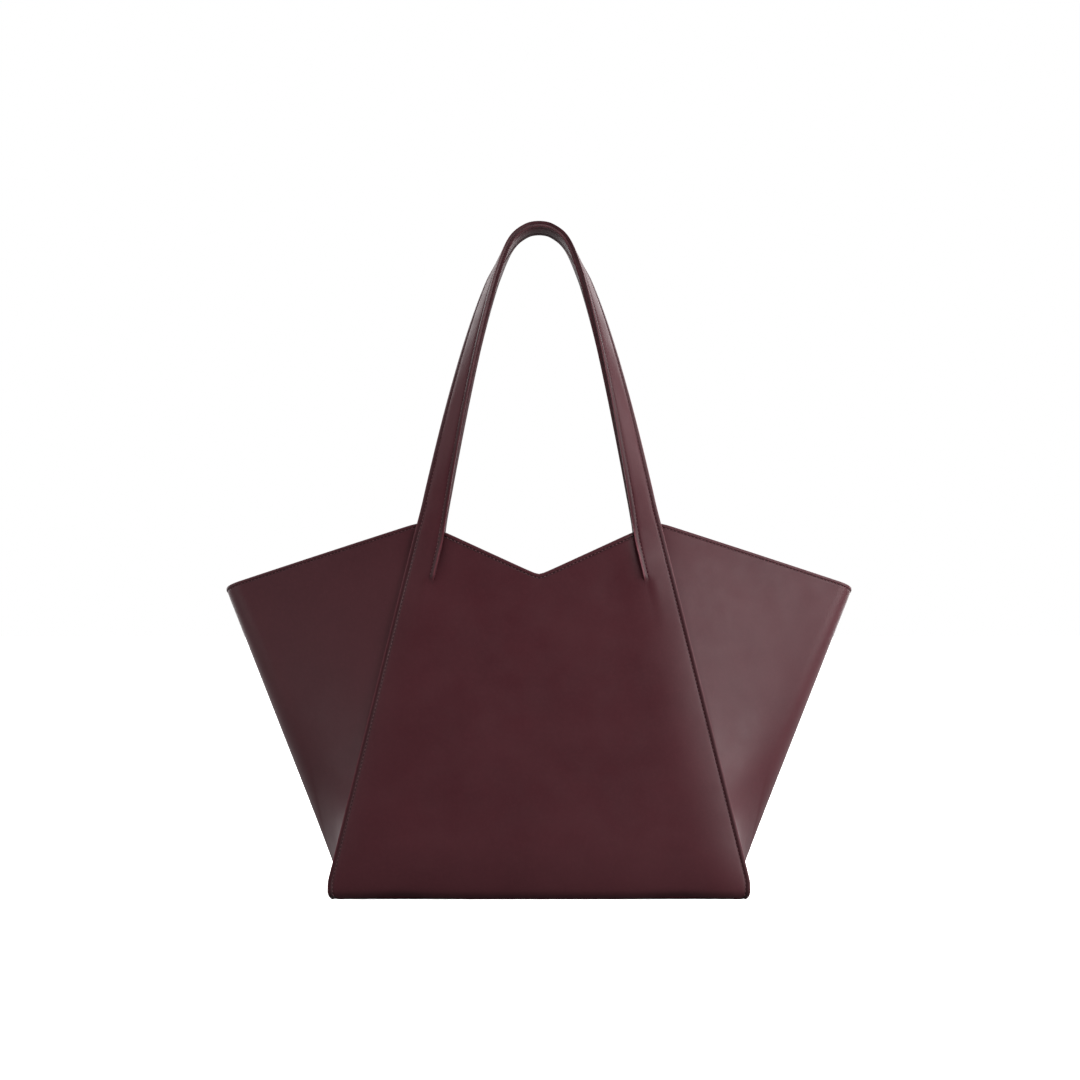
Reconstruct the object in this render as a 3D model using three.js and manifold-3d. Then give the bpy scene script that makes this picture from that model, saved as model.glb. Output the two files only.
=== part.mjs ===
// A winged leather tote bag with two shoulder straps, empty and standing on its base.
// Millimetres, +Z up. The front faces -Y, and the origin is on the floor under the middle of the base.
import * as THREE from "three";
import { mergeVertices } from "three/addons/utils/BufferGeometryUtils.js";
import Module from "manifold-3d";

const { degToRad, lerp } = THREE.MathUtils;

// Body: the front and back panels lean towards each other, and a folded gusset joins them on each side.
const BASE_WIDTH = 324;
const BASE_DEPTH = 140;
const TOP_DEPTH = 110;
const SHOULDER_Z = 287;
const NECK_Z = 250;
const KNEE_Z = 14;
const CORNER_R = 6;
const WING_SPAN = 498;
const WING_Z = 238.5;
const WING_BOW = 1.5;
const FOLD_R_TOP = 16;
const FOLD_R_BASE = 40;

// Sheets and seams
const PANEL_T = 1.6;
const GUSSET_T = 1.4;
const STIFFENER_EASE = 0.2;
const FACING_T = 0.9;
const LINING_T = 0.7;
const GAP = 0.3;
const LAP = 6.5;
const ALLOWANCE = 8;
const ALLOWANCE_SLANT = 3;
const FACING_DROP = 35;
const CORNER_GAP = 4;
const LINING_EASE = 0.5;
const WING_STEP = 0.8;
const WING_CROWN = 6.2;
const WING_CROWN_SPAN = 0.05;

// Darts that run down the panels from the inner edges of the strap roots
const DART_LENGTH = 41;
const DART_TILT = degToRad(16.8);
const DART_WIDTH = 0.8;
const NECK_STEP = 3.7;

// Straps: flat at the roots, then turning on edge, so that the crown lies face up
const STRAP_W = 20.5;
const STRAP_FACE_T = 1.5;
const STRAP_CORE_T = 1.2;
const STRAP_BACKING_T = 1.3;
const STRAP_EDGE_T = 0.9;
const STRAP_EDGE_W = 3.5;
const STRAP_TOP_Z = 526.5;
const ROOT_X = 83.6;
const ROOT_W = 23;
const ROOT_FLARE = 12;
const ROOT_TILT = degToRad(11.8);
const ROOT_GAP = 0.7;
const ROOT_HANDLE = 20;
const CROWN_R = 28.3;
const CROWN_TILT = degToRad(30);
const CROWN_HANDLE = 52;
const CROWN_GAP = 1.2;
const QUICK_TURN = { front: 0.17, back: 0.45 };
const QUICK_TURN_SPAN = 0.08;
const STEADY_TURN = 0.82;
const LATE_TURN_POWER = 11;

// Base
const TRAY_H = 10;
const TRAY_T = 1.4;
const TRAY_CORNER_R = 5;
const BOARD_T = 3;

// Magnetic snap
const SNAP_R = 8;
const SNAP_T = 2.4;
const SNAP_DROP = 20;
const SNAP_BEVEL = 0.8;
const STUD_R = 2.8;
const STUD_H = 1.5;
const SOCKET_CLEARANCE = 0.4;
const WASHER_R = 7;
const WASHER_T = 0.8;

// Zipped pocket on the back lining
const POCKET_WIDTH = 190;
const POCKET_HEIGHT = 105;
const POCKET_T = 0.8;
const POCKET_CORNER_R = 12;
const ZIP_DROP = 63;
const ZIP_LENGTH = 152;
const TAPE_W = 6;
const TAPE_T = 0.5;
const TAPE_OVERHANG = 12;
const TAPE_SPLIT = 0.8;
const TOOTH_PITCH = 4;
const TOOTH_W = 1.4;
const TOOTH_REACH = 0.8;
const TOOTH_T = 1.4;
const SPINE_IN = 1.2;
const SPINE_OUT = 2.8;
const STOP_W = 2;
const SLIDER_LENGTH = 9;
const SLIDER_T = 1;
const SLIDER_CHEEK = 1.8;
const SLIDER_PARK = 8;
const LUG_W = 4.6;
const LUG_WALL = 0.7;
const PULL_W = 9;
const PULL_T = 1.6;
const PULL_LENGTH = 31;
const PULL_WINDOW = 5;
const PULL_CORNER_R = 1.5;
const PULL_CLEARANCE = 0.22;
const PULL_STAND = 2.2;

// Facets
const CORNER_STEPS = 5;
const ROUND_STEPS = 28;
const WALL_STEPS = 5;
const FOLD_STEPS = 8;
const LOWER_ROWS = 9;
const UPPER_ROWS = 2;
const LEG_RINGS = 18;
const CROWN_RINGS = 12;

// Sizes that follow from these
const LEAN = Math.atan((BASE_DEPTH - TOP_DEPTH) / 2 / SHOULDER_Z);
const SHOULDER_TOP = SHOULDER_Z * Math.cos(LEAN);
const STIFFENER_T = GUSSET_T - STIFFENER_EASE;
const ALLOWANCE_DEPTH = PANEL_T + GAP;
const INNER_DEPTH = ALLOWANCE_DEPTH + GUSSET_T + GAP;
const LINING_INSET = GUSSET_T + GAP + LINING_EASE;
const FACING_Z = NECK_Z - FACING_DROP;
const FACING_V = FACING_Z / SHOULDER_Z;
const STRAP_T = STRAP_FACE_T + STRAP_CORE_T + STRAP_BACKING_T + 2 * GAP;
const STRAP_LEAN = Math.atan(
  (TOP_DEPTH / 2 - STRAP_T / 2 - STRAP_W / 2 - CROWN_GAP / 2) / (STRAP_TOP_Z - SHOULDER_TOP),
);
const SEAM_TOP = SHOULDER_Z - WING_STEP;
const ZIP_Z = NECK_Z - ZIP_DROP;

const wasm = await Module();
wasm.setup();

// Helpers

const leather = { color: 0x45242a, roughness: 0.42, metalness: 0 };
const suede = { color: 0x3a2024, roughness: 0.8, metalness: 0 };
const cloth = { color: 0x6d5650, roughness: 0.9, metalness: 0 };
const fibre = { color: 0x8a7a66, roughness: 0.95, metalness: 0 };
const metal = { color: 0xb59a62, roughness: 0.3, metalness: 1 };

function piece(name, geometry, finish) {
  const mesh = new THREE.Mesh(geometry, new THREE.MeshStandardMaterial(finish));
  mesh.name = name;
  return mesh;
}

function solidOf(geometry) {
  const bare = geometry.clone();
  bare.deleteAttribute("normal");
  bare.deleteAttribute("uv");
  const merged = mergeVertices(bare);
  return new wasm.Manifold(
    new wasm.Mesh({
      numProp: 3,
      vertProperties: merged.attributes.position.array,
      triVerts: new Uint32Array(merged.index.array),
    }),
  );
}

function geometryOf(solid) {
  const mesh = solid.getMesh();
  const geometry = new THREE.BufferGeometry();
  geometry.setAttribute("position", new THREE.BufferAttribute(mesh.vertProperties, 3));
  geometry.setIndex(new THREE.BufferAttribute(mesh.triVerts, 1));
  return geometry;
}

// A closed mesh from points and triangles, turned so that its faces point out.
function closedGeometry(points, triangles) {
  const spanned = new THREE.Vector3();
  const volume = triangles.reduce(
    (sum, [a, b, c]) => sum + spanned.crossVectors(points[a], points[b]).dot(points[c]),
    0,
  );
  const facingOut = volume < 0 ? triangles.map(([a, b, c]) => [a, c, b]) : triangles;
  return new THREE.BufferGeometry().setFromPoints(points).setIndex(facingOut.flat());
}

// A sheet between two grids of points, which have the same rows and columns.
function sheetBetween(outer, inner) {
  const rows = outer.length;
  const columns = outer[0].length;
  const points = [...outer.flat(), ...inner.flat()];
  const out = (r, c) => r * columns + c;
  const into = (r, c) => rows * columns + r * columns + c;
  const triangles = [];
  const quad = (a, b, c, d) => triangles.push([a, b, c], [a, c, d]);
  for (let r = 0; r + 1 < rows; r++) {
    for (let c = 0; c + 1 < columns; c++) {
      quad(out(r, c), out(r, c + 1), out(r + 1, c + 1), out(r + 1, c));
      triangles.push([into(r, c), into(r + 1, c + 1), into(r, c + 1)]);
      triangles.push([into(r, c), into(r + 1, c), into(r + 1, c + 1)]);
    }
    quad(out(r, 0), out(r + 1, 0), into(r + 1, 0), into(r, 0));
    quad(out(r + 1, columns - 1), out(r, columns - 1), into(r, columns - 1), into(r + 1, columns - 1));
  }
  for (let c = 0; c + 1 < columns; c++) {
    quad(out(0, c + 1), out(0, c), into(0, c), into(0, c + 1));
    quad(out(rows - 1, c), out(rows - 1, c + 1), into(rows - 1, c + 1), into(rows - 1, c));
  }
  return closedGeometry(points, triangles);
}

// A strip through a row of convex rings. The first half of a ring's points runs over the strip's face
// and the second half back under it, and both sides are split along the same diagonals, so that
// twisted strips which lie on each other keep an even gap.
function stripThrough(rings) {
  const sides = rings[0].length;
  const triangles = [];
  for (let r = 0; r + 1 < rings.length; r++) {
    for (let s = 0; s < sides; s++) {
      const a = r * sides + s;
      const b = r * sides + ((s + 1) % sides);
      if (s < sides / 2) {
        triangles.push([a, b, b + sides], [a, b + sides, a + sides]);
      } else {
        triangles.push([a, b, a + sides], [b, b + sides, a + sides]);
      }
    }
  }
  const last = (rings.length - 1) * sides;
  for (let s = 1; s + 1 < sides; s++) {
    triangles.push([0, s + 1, s], [last, last + s, last + s + 1]);
  }
  return closedGeometry(rings.flat(), triangles);
}

// A shape that is even left and right, from its right half, which starts and ends on the middle line.
function evenShape(half) {
  const left = half.slice(1, -1).reverse();
  return new THREE.Shape([...half, ...left.map((p) => new THREE.Vector2(-p.x, p.y))]);
}

function roundedShape(halfX, lowY, highY, radius) {
  const centreX = halfX - radius;
  const low = new THREE.EllipseCurve(centreX, lowY + radius, radius, radius, -Math.PI / 2, 0);
  const high = new THREE.EllipseCurve(centreX, highY - radius, radius, radius, 0, Math.PI / 2);
  const middleLow = new THREE.Vector2(0, lowY);
  const middleHigh = new THREE.Vector2(0, highY);
  return evenShape([
    middleLow,
    ...low.getPoints(CORNER_STEPS),
    ...high.getPoints(CORNER_STEPS),
    middleHigh,
  ]);
}

function rectangleShape(lowX, highX, lowY, highY) {
  return new THREE.Shape([
    new THREE.Vector2(lowX, lowY),
    new THREE.Vector2(highX, lowY),
    new THREE.Vector2(highX, highY),
    new THREE.Vector2(lowX, highY),
  ]);
}

function circlePath(x, y, radius) {
  const circle = new THREE.EllipseCurve(x, y, radius, radius, 0, 2 * Math.PI);
  return new THREE.Path(circle.getPoints(ROUND_STEPS).slice(0, ROUND_STEPS));
}

function slab(shape, thickness) {
  return new THREE.ExtrudeGeometry(shape, { depth: thickness, bevelEnabled: false });
}

// A sheet that stands up in a side's own frame: x across, y the depth behind the panel's outer face, z up.
function standingSheet(shape, depth, thickness) {
  return slab(shape, thickness).translate(0, 0, -depth - thickness).rotateX(Math.PI / 2);
}

// Outline of the panels

function rootPoint(across) {
  const reach = (across * ROOT_W) / 2;
  return new THREE.Vector2(
    ROOT_X + reach * Math.cos(ROOT_TILT),
    SHOULDER_Z + reach * Math.sin(ROOT_TILT) - ROOT_GAP,
  );
}

const ROOT_OUTER = rootPoint(1);
const ROOT_INNER = rootPoint(-1);
const DART_ALONG = new THREE.Vector2(Math.sin(DART_TILT), -Math.cos(DART_TILT));
const DART_END = ROOT_INNER.clone().addScaledVector(DART_ALONG, DART_LENGTH);
const NECK_END = ROOT_INNER.clone().addScaledVector(DART_ALONG, NECK_STEP);
NECK_END.x -= DART_WIDTH;
const NECK_POINT = new THREE.Vector2(0, NECK_Z);

function sideX(z) {
  const rise = Math.max(z - KNEE_Z, 0) / (ROOT_OUTER.y - KNEE_Z);
  return lerp(BASE_WIDTH / 2, ROOT_OUTER.x, rise);
}

function seamX(z) {
  return sideX(z) - LAP;
}

function panelShape() {
  const centreX = BASE_WIDTH / 2 - CORNER_R;
  const corner = new THREE.EllipseCurve(centreX, CORNER_R, CORNER_R, CORNER_R, -Math.PI / 2, 0);
  return evenShape([
    new THREE.Vector2(0, 0),
    ...corner.getPoints(CORNER_STEPS),
    new THREE.Vector2(BASE_WIDTH / 2, KNEE_Z),
    ROOT_OUTER,
    ROOT_INNER,
    DART_END,
    NECK_END,
    NECK_POINT,
  ]);
}

// Points up the right side of an inner layer, which keeps the same distance from the seam.
function innerSide(inset, fromZ, toZ) {
  const heights = fromZ < KNEE_Z ? [fromZ, KNEE_Z, toZ] : [fromZ, toZ];
  return heights.map((z) => new THREE.Vector2(seamX(z) - inset, z));
}

function stiffenerShape() {
  const inset = ALLOWANCE + 2 * GAP;
  const shoulderZ = NECK_END.y - NECK_STEP;
  const shape = evenShape([
    new THREE.Vector2(0, GAP),
    ...innerSide(inset, GAP, shoulderZ),
    new THREE.Vector2(NECK_END.x, shoulderZ),
    new THREE.Vector2(0, NECK_Z - NECK_STEP),
  ]);
  shape.holes.push(circlePath(0, NECK_Z - SNAP_DROP, WASHER_R + GAP));
  return shape;
}

function facingShape() {
  const outerX = seamX(SHOULDER_Z) - LINING_INSET;
  const across = (2 * (outerX - ROOT_X)) / (ROOT_W * Math.cos(ROOT_TILT));
  return evenShape([
    new THREE.Vector2(0, FACING_Z),
    new THREE.Vector2(seamX(FACING_Z) - LINING_INSET, FACING_Z),
    rootPoint(across),
    ROOT_INNER,
    NECK_END,
    NECK_POINT,
  ]);
}

function liningShape() {
  const top = FACING_Z - GAP;
  const foot = TRAY_H + 2 * GAP;
  return evenShape([
    new THREE.Vector2(0, foot),
    ...innerSide(LINING_INSET, foot, top),
    new THREE.Vector2(0, top),
  ]);
}

// Gussets

// How far from the middle plane the gusset's outer side meets a panel.
function seamDepth(z) {
  return BASE_DEPTH / 2 - z * Math.tan(LEAN) - ALLOWANCE_DEPTH;
}

// The plan of a gusset at a share of its height, front to back, with a height on each point.
// The top edge arches a little on its way from the seam down to the fold.
// The walls run from the seams, tangent to the round of the fold.
function gussetPlan(share, lined) {
  const seamZ = share * SEAM_TOP;
  const tipZ = share * WING_Z;
  const seam = new THREE.Vector3(seamX(seamZ), -seamDepth(seamZ), seamZ);
  const tipX = lerp(seamX(0) + WING_BOW, WING_SPAN / 2, share);
  const radius = lerp(FOLD_R_BASE, FOLD_R_TOP, share);
  const toCentre = new THREE.Vector2(tipX - radius - seam.x, -seam.y);
  const wallAngle = toCentre.angle() - Math.asin(radius / toCentre.length());
  const wallLength = Math.sqrt(toCentre.lengthSq() - radius * radius);
  const halfFold = Math.PI / 2 - wallAngle;
  const pathLength = wallLength + radius * halfFold;
  const heightAt = (along) => {
    const reach = along / pathLength;
    const crown = share * WING_CROWN * (1 - reach) * (1 - Math.exp(-reach / WING_CROWN_SPAN));
    return lerp(seamZ, tipZ, reach) + crown;
  };
  const wallPoint = (along) =>
    new THREE.Vector3(
      seam.x + along * Math.cos(wallAngle),
      seam.y + along * Math.sin(wallAngle),
      heightAt(along),
    );
  const front = [wallPoint(CORNER_GAP)];
  if (!lined) {
    const endZ = seamZ - share * ALLOWANCE_SLANT;
    front.unshift(new THREE.Vector3(seamX(endZ) - ALLOWANCE, -seamDepth(endZ), endZ), seam);
  }
  for (let step = 1; step < WALL_STEPS; step++) {
    front.push(wallPoint((wallLength * step) / WALL_STEPS));
  }
  for (let step = 0; step < FOLD_STEPS / 2; step++) {
    const angle = (halfFold * (2 * step)) / FOLD_STEPS - halfFold;
    front.push(
      new THREE.Vector3(
        tipX - radius + radius * Math.cos(angle),
        radius * Math.sin(angle),
        heightAt(wallLength + radius * (halfFold + angle)),
      ),
    );
  }
  const tip = new THREE.Vector3(tipX, 0, tipZ);
  const back = front.toReversed().map((p) => new THREE.Vector3(p.x, -p.y, p.z));
  return [...front, tip, ...back];
}

// Moves a plan inwards by a distance, with mitred corners.
function inwards(plan, distance) {
  const normals = plan.slice(1).map((p, i) => {
    const along = p.clone().sub(plan[i]).setZ(0).normalize();
    return new THREE.Vector3(-along.y, along.x, 0);
  });
  return plan.map((p, i) => {
    const before = normals[Math.max(i - 1, 0)];
    const after = normals[Math.min(i, normals.length - 1)];
    const mitre = before.clone().add(after).normalize();
    return p.clone().addScaledVector(mitre, distance / mitre.dot(after));
  });
}

function gussetSheet(shares, lined, depth, thickness) {
  const plans = shares.map((share) => gussetPlan(share, lined));
  return sheetBetween(
    plans.map((plan) => inwards(plan, depth)),
    plans.map((plan) => inwards(plan, depth + thickness)),
  );
}

function steps(from, to, count) {
  return Array.from({ length: count + 1 }, (_, i) => lerp(from, to, i / count));
}

function makeGusset(name, turn) {
  const lower = [0, ...steps(KNEE_Z / SEAM_TOP, FACING_V, LOWER_ROWS)];
  const upper = steps(FACING_V, 1, UPPER_ROWS);
  const linedDepth = GUSSET_T + GAP;
  const footShare = (TRAY_H + 2 * GAP) / WING_Z;
  const topShare = FACING_V - (2 * GAP) / WING_Z;
  const liningShares = [footShare, ...lower.slice(1, -1), topShare];
  const group = new THREE.Group();
  group.rotation.z = turn;
  group.add(
    piece(`${name}_gusset`, gussetSheet([...lower, ...upper.slice(1)], false, 0, GUSSET_T), leather),
    piece(`${name}_gusset_facing`, gussetSheet(upper, true, linedDepth, FACING_T), suede),
    piece(`${name}_gusset_lining`, gussetSheet(liningShares, true, linedDepth, LINING_T), cloth),
  );
  return group;
}

// Base

function makeBase() {
  const halfX = seamX(0) - GUSSET_T - 2 * GAP;
  const halfY = BASE_DEPTH / 2 - INNER_DEPTH - TRAY_H * Math.tan(LEAN) - GAP;
  const insideX = halfX - TRAY_T;
  const insideY = halfY - TRAY_T;
  const insideR = TRAY_CORNER_R - TRAY_T;
  const outer = slab(roundedShape(halfX, -halfY, halfY, TRAY_CORNER_R), TRAY_H);
  const hollow = slab(roundedShape(insideX, -insideY, insideY, insideR), TRAY_H).translate(0, 0, TRAY_T);
  const fitted = roundedShape(insideX - GAP, -insideY + GAP, insideY - GAP, insideR);
  const boardZ = TRAY_T + GAP;
  const liningZ = boardZ + BOARD_T + GAP;
  const group = new THREE.Group();
  group.add(
    piece("base_panel", geometryOf(solidOf(outer).subtract(solidOf(hollow))), leather),
    piece("base_board", slab(fitted, BOARD_T).translate(0, 0, boardZ), fibre),
    piece("base_lining", slab(fitted, LINING_T).translate(0, 0, liningZ), cloth),
  );
  return group;
}

// Straps

// The middle line of a strap, in the plane that it leans in, from the left root to the right one.
function strapPath() {
  const topY = (STRAP_TOP_Z - SHOULDER_TOP) / Math.cos(STRAP_LEAN);
  const root = new THREE.Vector2(ROOT_X, 0);
  const crownY = topY - CROWN_R;
  const join = new THREE.Vector2(
    CROWN_R * Math.cos(CROWN_TILT),
    crownY + CROWN_R * Math.sin(CROWN_TILT),
  );
  const steep = (tilt) => new THREE.Vector2(-Math.sin(tilt), Math.cos(tilt));
  const above = root.clone().addScaledVector(steep(ROOT_TILT), ROOT_HANDLE);
  const below = join.clone().addScaledVector(steep(CROWN_TILT), -CROWN_HANDLE);
  const mirror = (p) => new THREE.Vector2(-p.x, p.y);
  const leg = [root, above, below, join];
  const path = new THREE.CurvePath();
  path.add(new THREE.CubicBezierCurve(...leg.map(mirror)));
  path.add(new THREE.EllipseCurve(0, crownY, CROWN_R, CROWN_R, Math.PI - CROWN_TILT, CROWN_TILT, true));
  path.add(new THREE.CubicBezierCurve(...leg.toReversed()));
  return path;
}

// The share of a quarter turn that a strap has made at a share of its leg's length:
// some of it just above the root, some steadily and the rest just below the crown.
function turnAt(share, quick) {
  const settle = (x) => 1 - Math.exp(-x / QUICK_TURN_SPAN);
  const later = lerp(share ** LATE_TURN_POWER, share, STEADY_TURN);
  return lerp(later, settle(share) / settle(1), quick);
}

function strapRings(section, quick) {
  const path = strapPath();
  const length = path.getLength();
  const legLength = path.curves[0].getLength();
  const origin = new THREE.Vector3(0, STRAP_T / 2 - TOP_DEPTH / 2, SHOULDER_TOP);
  const right = new THREE.Vector3(1, 0, 0);
  const up = new THREE.Vector3(0, Math.sin(STRAP_LEAN), Math.cos(STRAP_LEAN));
  const front = new THREE.Vector3(0, -Math.cos(STRAP_LEAN), Math.sin(STRAP_LEAN));
  const inPlane = (x, y) => new THREE.Vector3().addScaledVector(right, x).addScaledVector(up, y);
  const legShare = legLength / length;
  const shares = [
    ...steps(0, legShare, LEG_RINGS),
    ...steps(legShare, 1 - legShare, CROWN_RINGS).slice(1, -1),
    ...steps(1 - legShare, 1, LEG_RINGS),
  ];
  return shares.map((share) => {
    const at = path.getPointAt(share);
    const heading = path.getTangentAt(share);
    const fromRoot = Math.min(share, 1 - share) * length;
    const turn = (turnAt(Math.min(fromRoot / legLength, 1), quick) * Math.PI) / 2;
    const outward = inPlane(-heading.y, heading.x);
    const face = front.clone().multiplyScalar(Math.cos(turn)).addScaledVector(outward, Math.sin(turn));
    const across = inPlane(heading.x, heading.y).cross(face);
    const width = STRAP_W + (ROOT_W - STRAP_W) * Math.exp(-fromRoot / ROOT_FLARE);
    const middle = origin.clone().add(inPlane(at.x, at.y));
    return section(width / 2).map(([a, b]) =>
      middle.clone().addScaledVector(across, a).addScaledVector(face, STRAP_T / 2 - b),
    );
  });
}

// Sections give the distance across the strap and the depth under the top of its face.
// The face and the backing are skived thin along their edges, where no core lies between them.
function coreSection(half) {
  const edge = half - STRAP_EDGE_W - GAP;
  const top = STRAP_FACE_T + GAP;
  const bottom = top + STRAP_CORE_T;
  return [
    [-edge, top],
    [edge, top],
    [edge, bottom],
    [-edge, bottom],
  ];
}

function faceSection(half) {
  const edge = half - STRAP_EDGE_W;
  const skived = STRAP_FACE_T - STRAP_EDGE_T;
  return [
    [-half, skived],
    [-edge, 0],
    [edge, 0],
    [half, skived],
    [half, STRAP_FACE_T],
    [edge, STRAP_FACE_T],
    [-edge, STRAP_FACE_T],
    [-half, STRAP_FACE_T],
  ];
}

function backingSection(half) {
  const edge = half - STRAP_EDGE_W;
  const top = STRAP_FACE_T + STRAP_CORE_T + 2 * GAP;
  const skived = top + STRAP_EDGE_T;
  return [
    [-half, top],
    [-edge, top],
    [edge, top],
    [half, top],
    [half, skived],
    [edge, STRAP_T],
    [-edge, STRAP_T],
    [-half, skived],
  ];
}

function makeStrap(name) {
  const layer = (section) => stripThrough(strapRings(section, QUICK_TURN[name]));
  const group = new THREE.Group();
  group.add(
    piece(`${name}_strap_face`, layer(faceSection), leather),
    piece(`${name}_strap_core`, layer(coreSection), fibre),
    piece(`${name}_strap_backing`, layer(backingSection), leather),
  );
  return group;
}

// Magnetic snap

function discProfile(points) {
  return new THREE.LatheGeometry(points.map(([r, y]) => new THREE.Vector2(r, y)), ROUND_STEPS);
}

function makeStud() {
  const top = SNAP_T + STUD_H;
  return discProfile([
    [0, 0],
    [SNAP_R, 0],
    [SNAP_R, SNAP_T - SNAP_BEVEL],
    [SNAP_R - SNAP_BEVEL, SNAP_T],
    [STUD_R, SNAP_T],
    [STUD_R, top],
    [0, top],
  ]);
}

function makeSocket() {
  const hole = STUD_R + SOCKET_CLEARANCE;
  const floor = SNAP_T - STUD_H;
  return discProfile([
    [0, 0],
    [SNAP_R, 0],
    [SNAP_R, SNAP_T - SNAP_BEVEL],
    [SNAP_R - SNAP_BEVEL, SNAP_T],
    [hole, SNAP_T],
    [hole, floor],
    [0, floor],
  ]);
}

function makeWasher() {
  return discProfile([
    [0, 0],
    [WASHER_R, 0],
    [WASHER_R, WASHER_T],
    [0, WASHER_T],
  ]);
}

function makeSnapHalf(name, disc) {
  const z = NECK_Z - SNAP_DROP;
  const half = piece(`snap_${name}`, disc, metal);
  half.position.set(0, INNER_DEPTH + FACING_T + GAP, z);
  const washer = piece(`snap_${name}_washer`, makeWasher(), metal);
  washer.position.set(0, INNER_DEPTH - GAP - WASHER_T, z);
  const group = new THREE.Group();
  group.add(half, washer);
  return group;
}

// Zipped pocket, in the back side's own frame

const TAPE_DEPTH = INNER_DEPTH + LINING_T + GAP;
const TOOTH_DEPTH = TAPE_DEPTH + TAPE_T + GAP;
const PLATE_DEPTH = TOOTH_DEPTH + TOOTH_T + GAP;
const AXLE_DEPTH = PLATE_DEPTH + SLIDER_T + PULL_STAND;
const PULL_HOLE_R = (PULL_T / 2) * Math.SQRT2 + PULL_CLEARANCE;

// One row of teeth along the tape on the given side of the zip's middle line.
function toothRow(side) {
  const half = ZIP_LENGTH / 2;
  const count = Math.floor(ZIP_LENGTH / TOOTH_PITCH) - 1;
  const start = -half + TOOTH_PITCH / 2 + (side * TOOTH_PITCH) / 4;
  const at = (x, y) => new THREE.Vector2(x, ZIP_Z + side * y);
  const points = [at(-half, SPINE_OUT), at(-half, SPINE_IN)];
  for (let tooth = 0; tooth < count; tooth++) {
    const low = start + tooth * TOOTH_PITCH;
    points.push(at(low, SPINE_IN), at(low, -TOOTH_REACH), at(low + TOOTH_W, -TOOTH_REACH));
    points.push(at(low + TOOTH_W, SPINE_IN));
  }
  points.push(at(half, SPINE_IN), at(half, SPINE_OUT));
  return standingSheet(new THREE.Shape(points), TOOTH_DEPTH, TOOTH_T);
}

function zipTape(side) {
  const half = ZIP_LENGTH / 2 + TAPE_OVERHANG;
  const edges = [TAPE_SPLIT / 2, TAPE_SPLIT / 2 + TAPE_W].map((y) => ZIP_Z + side * y);
  const shape = rectangleShape(-half, half, Math.min(...edges), Math.max(...edges));
  return standingSheet(shape, TAPE_DEPTH, TAPE_T);
}

function zipStop(side) {
  const near = side * (ZIP_LENGTH / 2 + GAP);
  const far = near + side * STOP_W;
  const reach = SPINE_OUT;
  const shape = rectangleShape(Math.min(near, far), Math.max(near, far), ZIP_Z - reach, ZIP_Z + reach);
  return standingSheet(shape, TOOTH_DEPTH, TOOTH_T);
}

// The slider is a channel over both rows of teeth, with an eye for the pull.
function sliderBody() {
  const inside = SPINE_OUT + GAP;
  const outside = inside + SLIDER_CHEEK;
  const top = PLATE_DEPTH + SLIDER_T;
  const channel = new THREE.Shape([
    new THREE.Vector2(TOOTH_DEPTH, -outside),
    new THREE.Vector2(top, -outside),
    new THREE.Vector2(top, outside),
    new THREE.Vector2(TOOTH_DEPTH, outside),
    new THREE.Vector2(TOOTH_DEPTH, inside),
    new THREE.Vector2(PLATE_DEPTH, inside),
    new THREE.Vector2(PLATE_DEPTH, -inside),
    new THREE.Vector2(TOOTH_DEPTH, -inside),
  ]);
  const lugR = PULL_HOLE_R + LUG_WALL;
  const lugArc = new THREE.EllipseCurve(AXLE_DEPTH, 0, lugR, lugR, -Math.PI / 2, Math.PI / 2);
  const lug = new THREE.Shape([
    new THREE.Vector2(PLATE_DEPTH + SLIDER_T / 2, -lugR),
    ...lugArc.getPoints(2 * CORNER_STEPS),
    new THREE.Vector2(PLATE_DEPTH + SLIDER_T / 2, lugR),
  ]);
  lug.holes.push(circlePath(AXLE_DEPTH, 0, PULL_HOLE_R));
  const across = (shape, width) => solidOf(slab(shape, width).translate(0, 0, -width / 2));
  const joined = across(channel, SLIDER_LENGTH).add(across(lug, LUG_W));
  // The profiles are drawn with depth along x and height along y, and run along the zip.
  const turn = new THREE.Matrix4().set(0, 0, 1, 0, 1, 0, 0, 0, 0, 1, 0, 0, 0, 0, 0, 1);
  return geometryOf(joined).applyMatrix4(turn);
}

function pullTab() {
  const bar = PULL_T / 2;
  const shape = roundedShape(PULL_W / 2, bar - PULL_LENGTH, bar, PULL_CORNER_R);
  const windowHalf = LUG_W / 2 + 2 * GAP;
  const hole = rectangleShape(-windowHalf, windowHalf, -bar - PULL_WINDOW, -bar);
  shape.holes.push(new THREE.Path(hole.getPoints()));
  return standingSheet(shape, -PULL_T / 2, PULL_T);
}

function makePocket() {
  const zipEdge = TAPE_SPLIT / 2 + TAPE_W + GAP;
  const patchTop = ZIP_Z - zipEdge;
  const patch = roundedShape(POCKET_WIDTH / 2, patchTop - POCKET_HEIGHT, patchTop, POCKET_CORNER_R);
  const parkX = SLIDER_PARK - ZIP_LENGTH / 2;
  const slider = piece("zip_slider", sliderBody(), metal);
  slider.position.set(parkX, 0, ZIP_Z);
  const pull = piece("zip_pull", pullTab(), metal);
  pull.position.set(parkX, AXLE_DEPTH, ZIP_Z);
  const group = new THREE.Group();
  group.add(
    piece("pocket_patch", standingSheet(patch, TAPE_DEPTH, POCKET_T), cloth),
    piece("zip_tape_lower", zipTape(-1), suede),
    piece("zip_tape_upper", zipTape(1), suede),
    piece("zip_teeth_lower", toothRow(-1), metal),
    piece("zip_teeth_upper", toothRow(1), metal),
    piece("zip_stop_closed", zipStop(-1), metal),
    piece("zip_stop_open", zipStop(1), metal),
    slider,
    pull,
  );
  return group;
}

// Front and back sides

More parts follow.
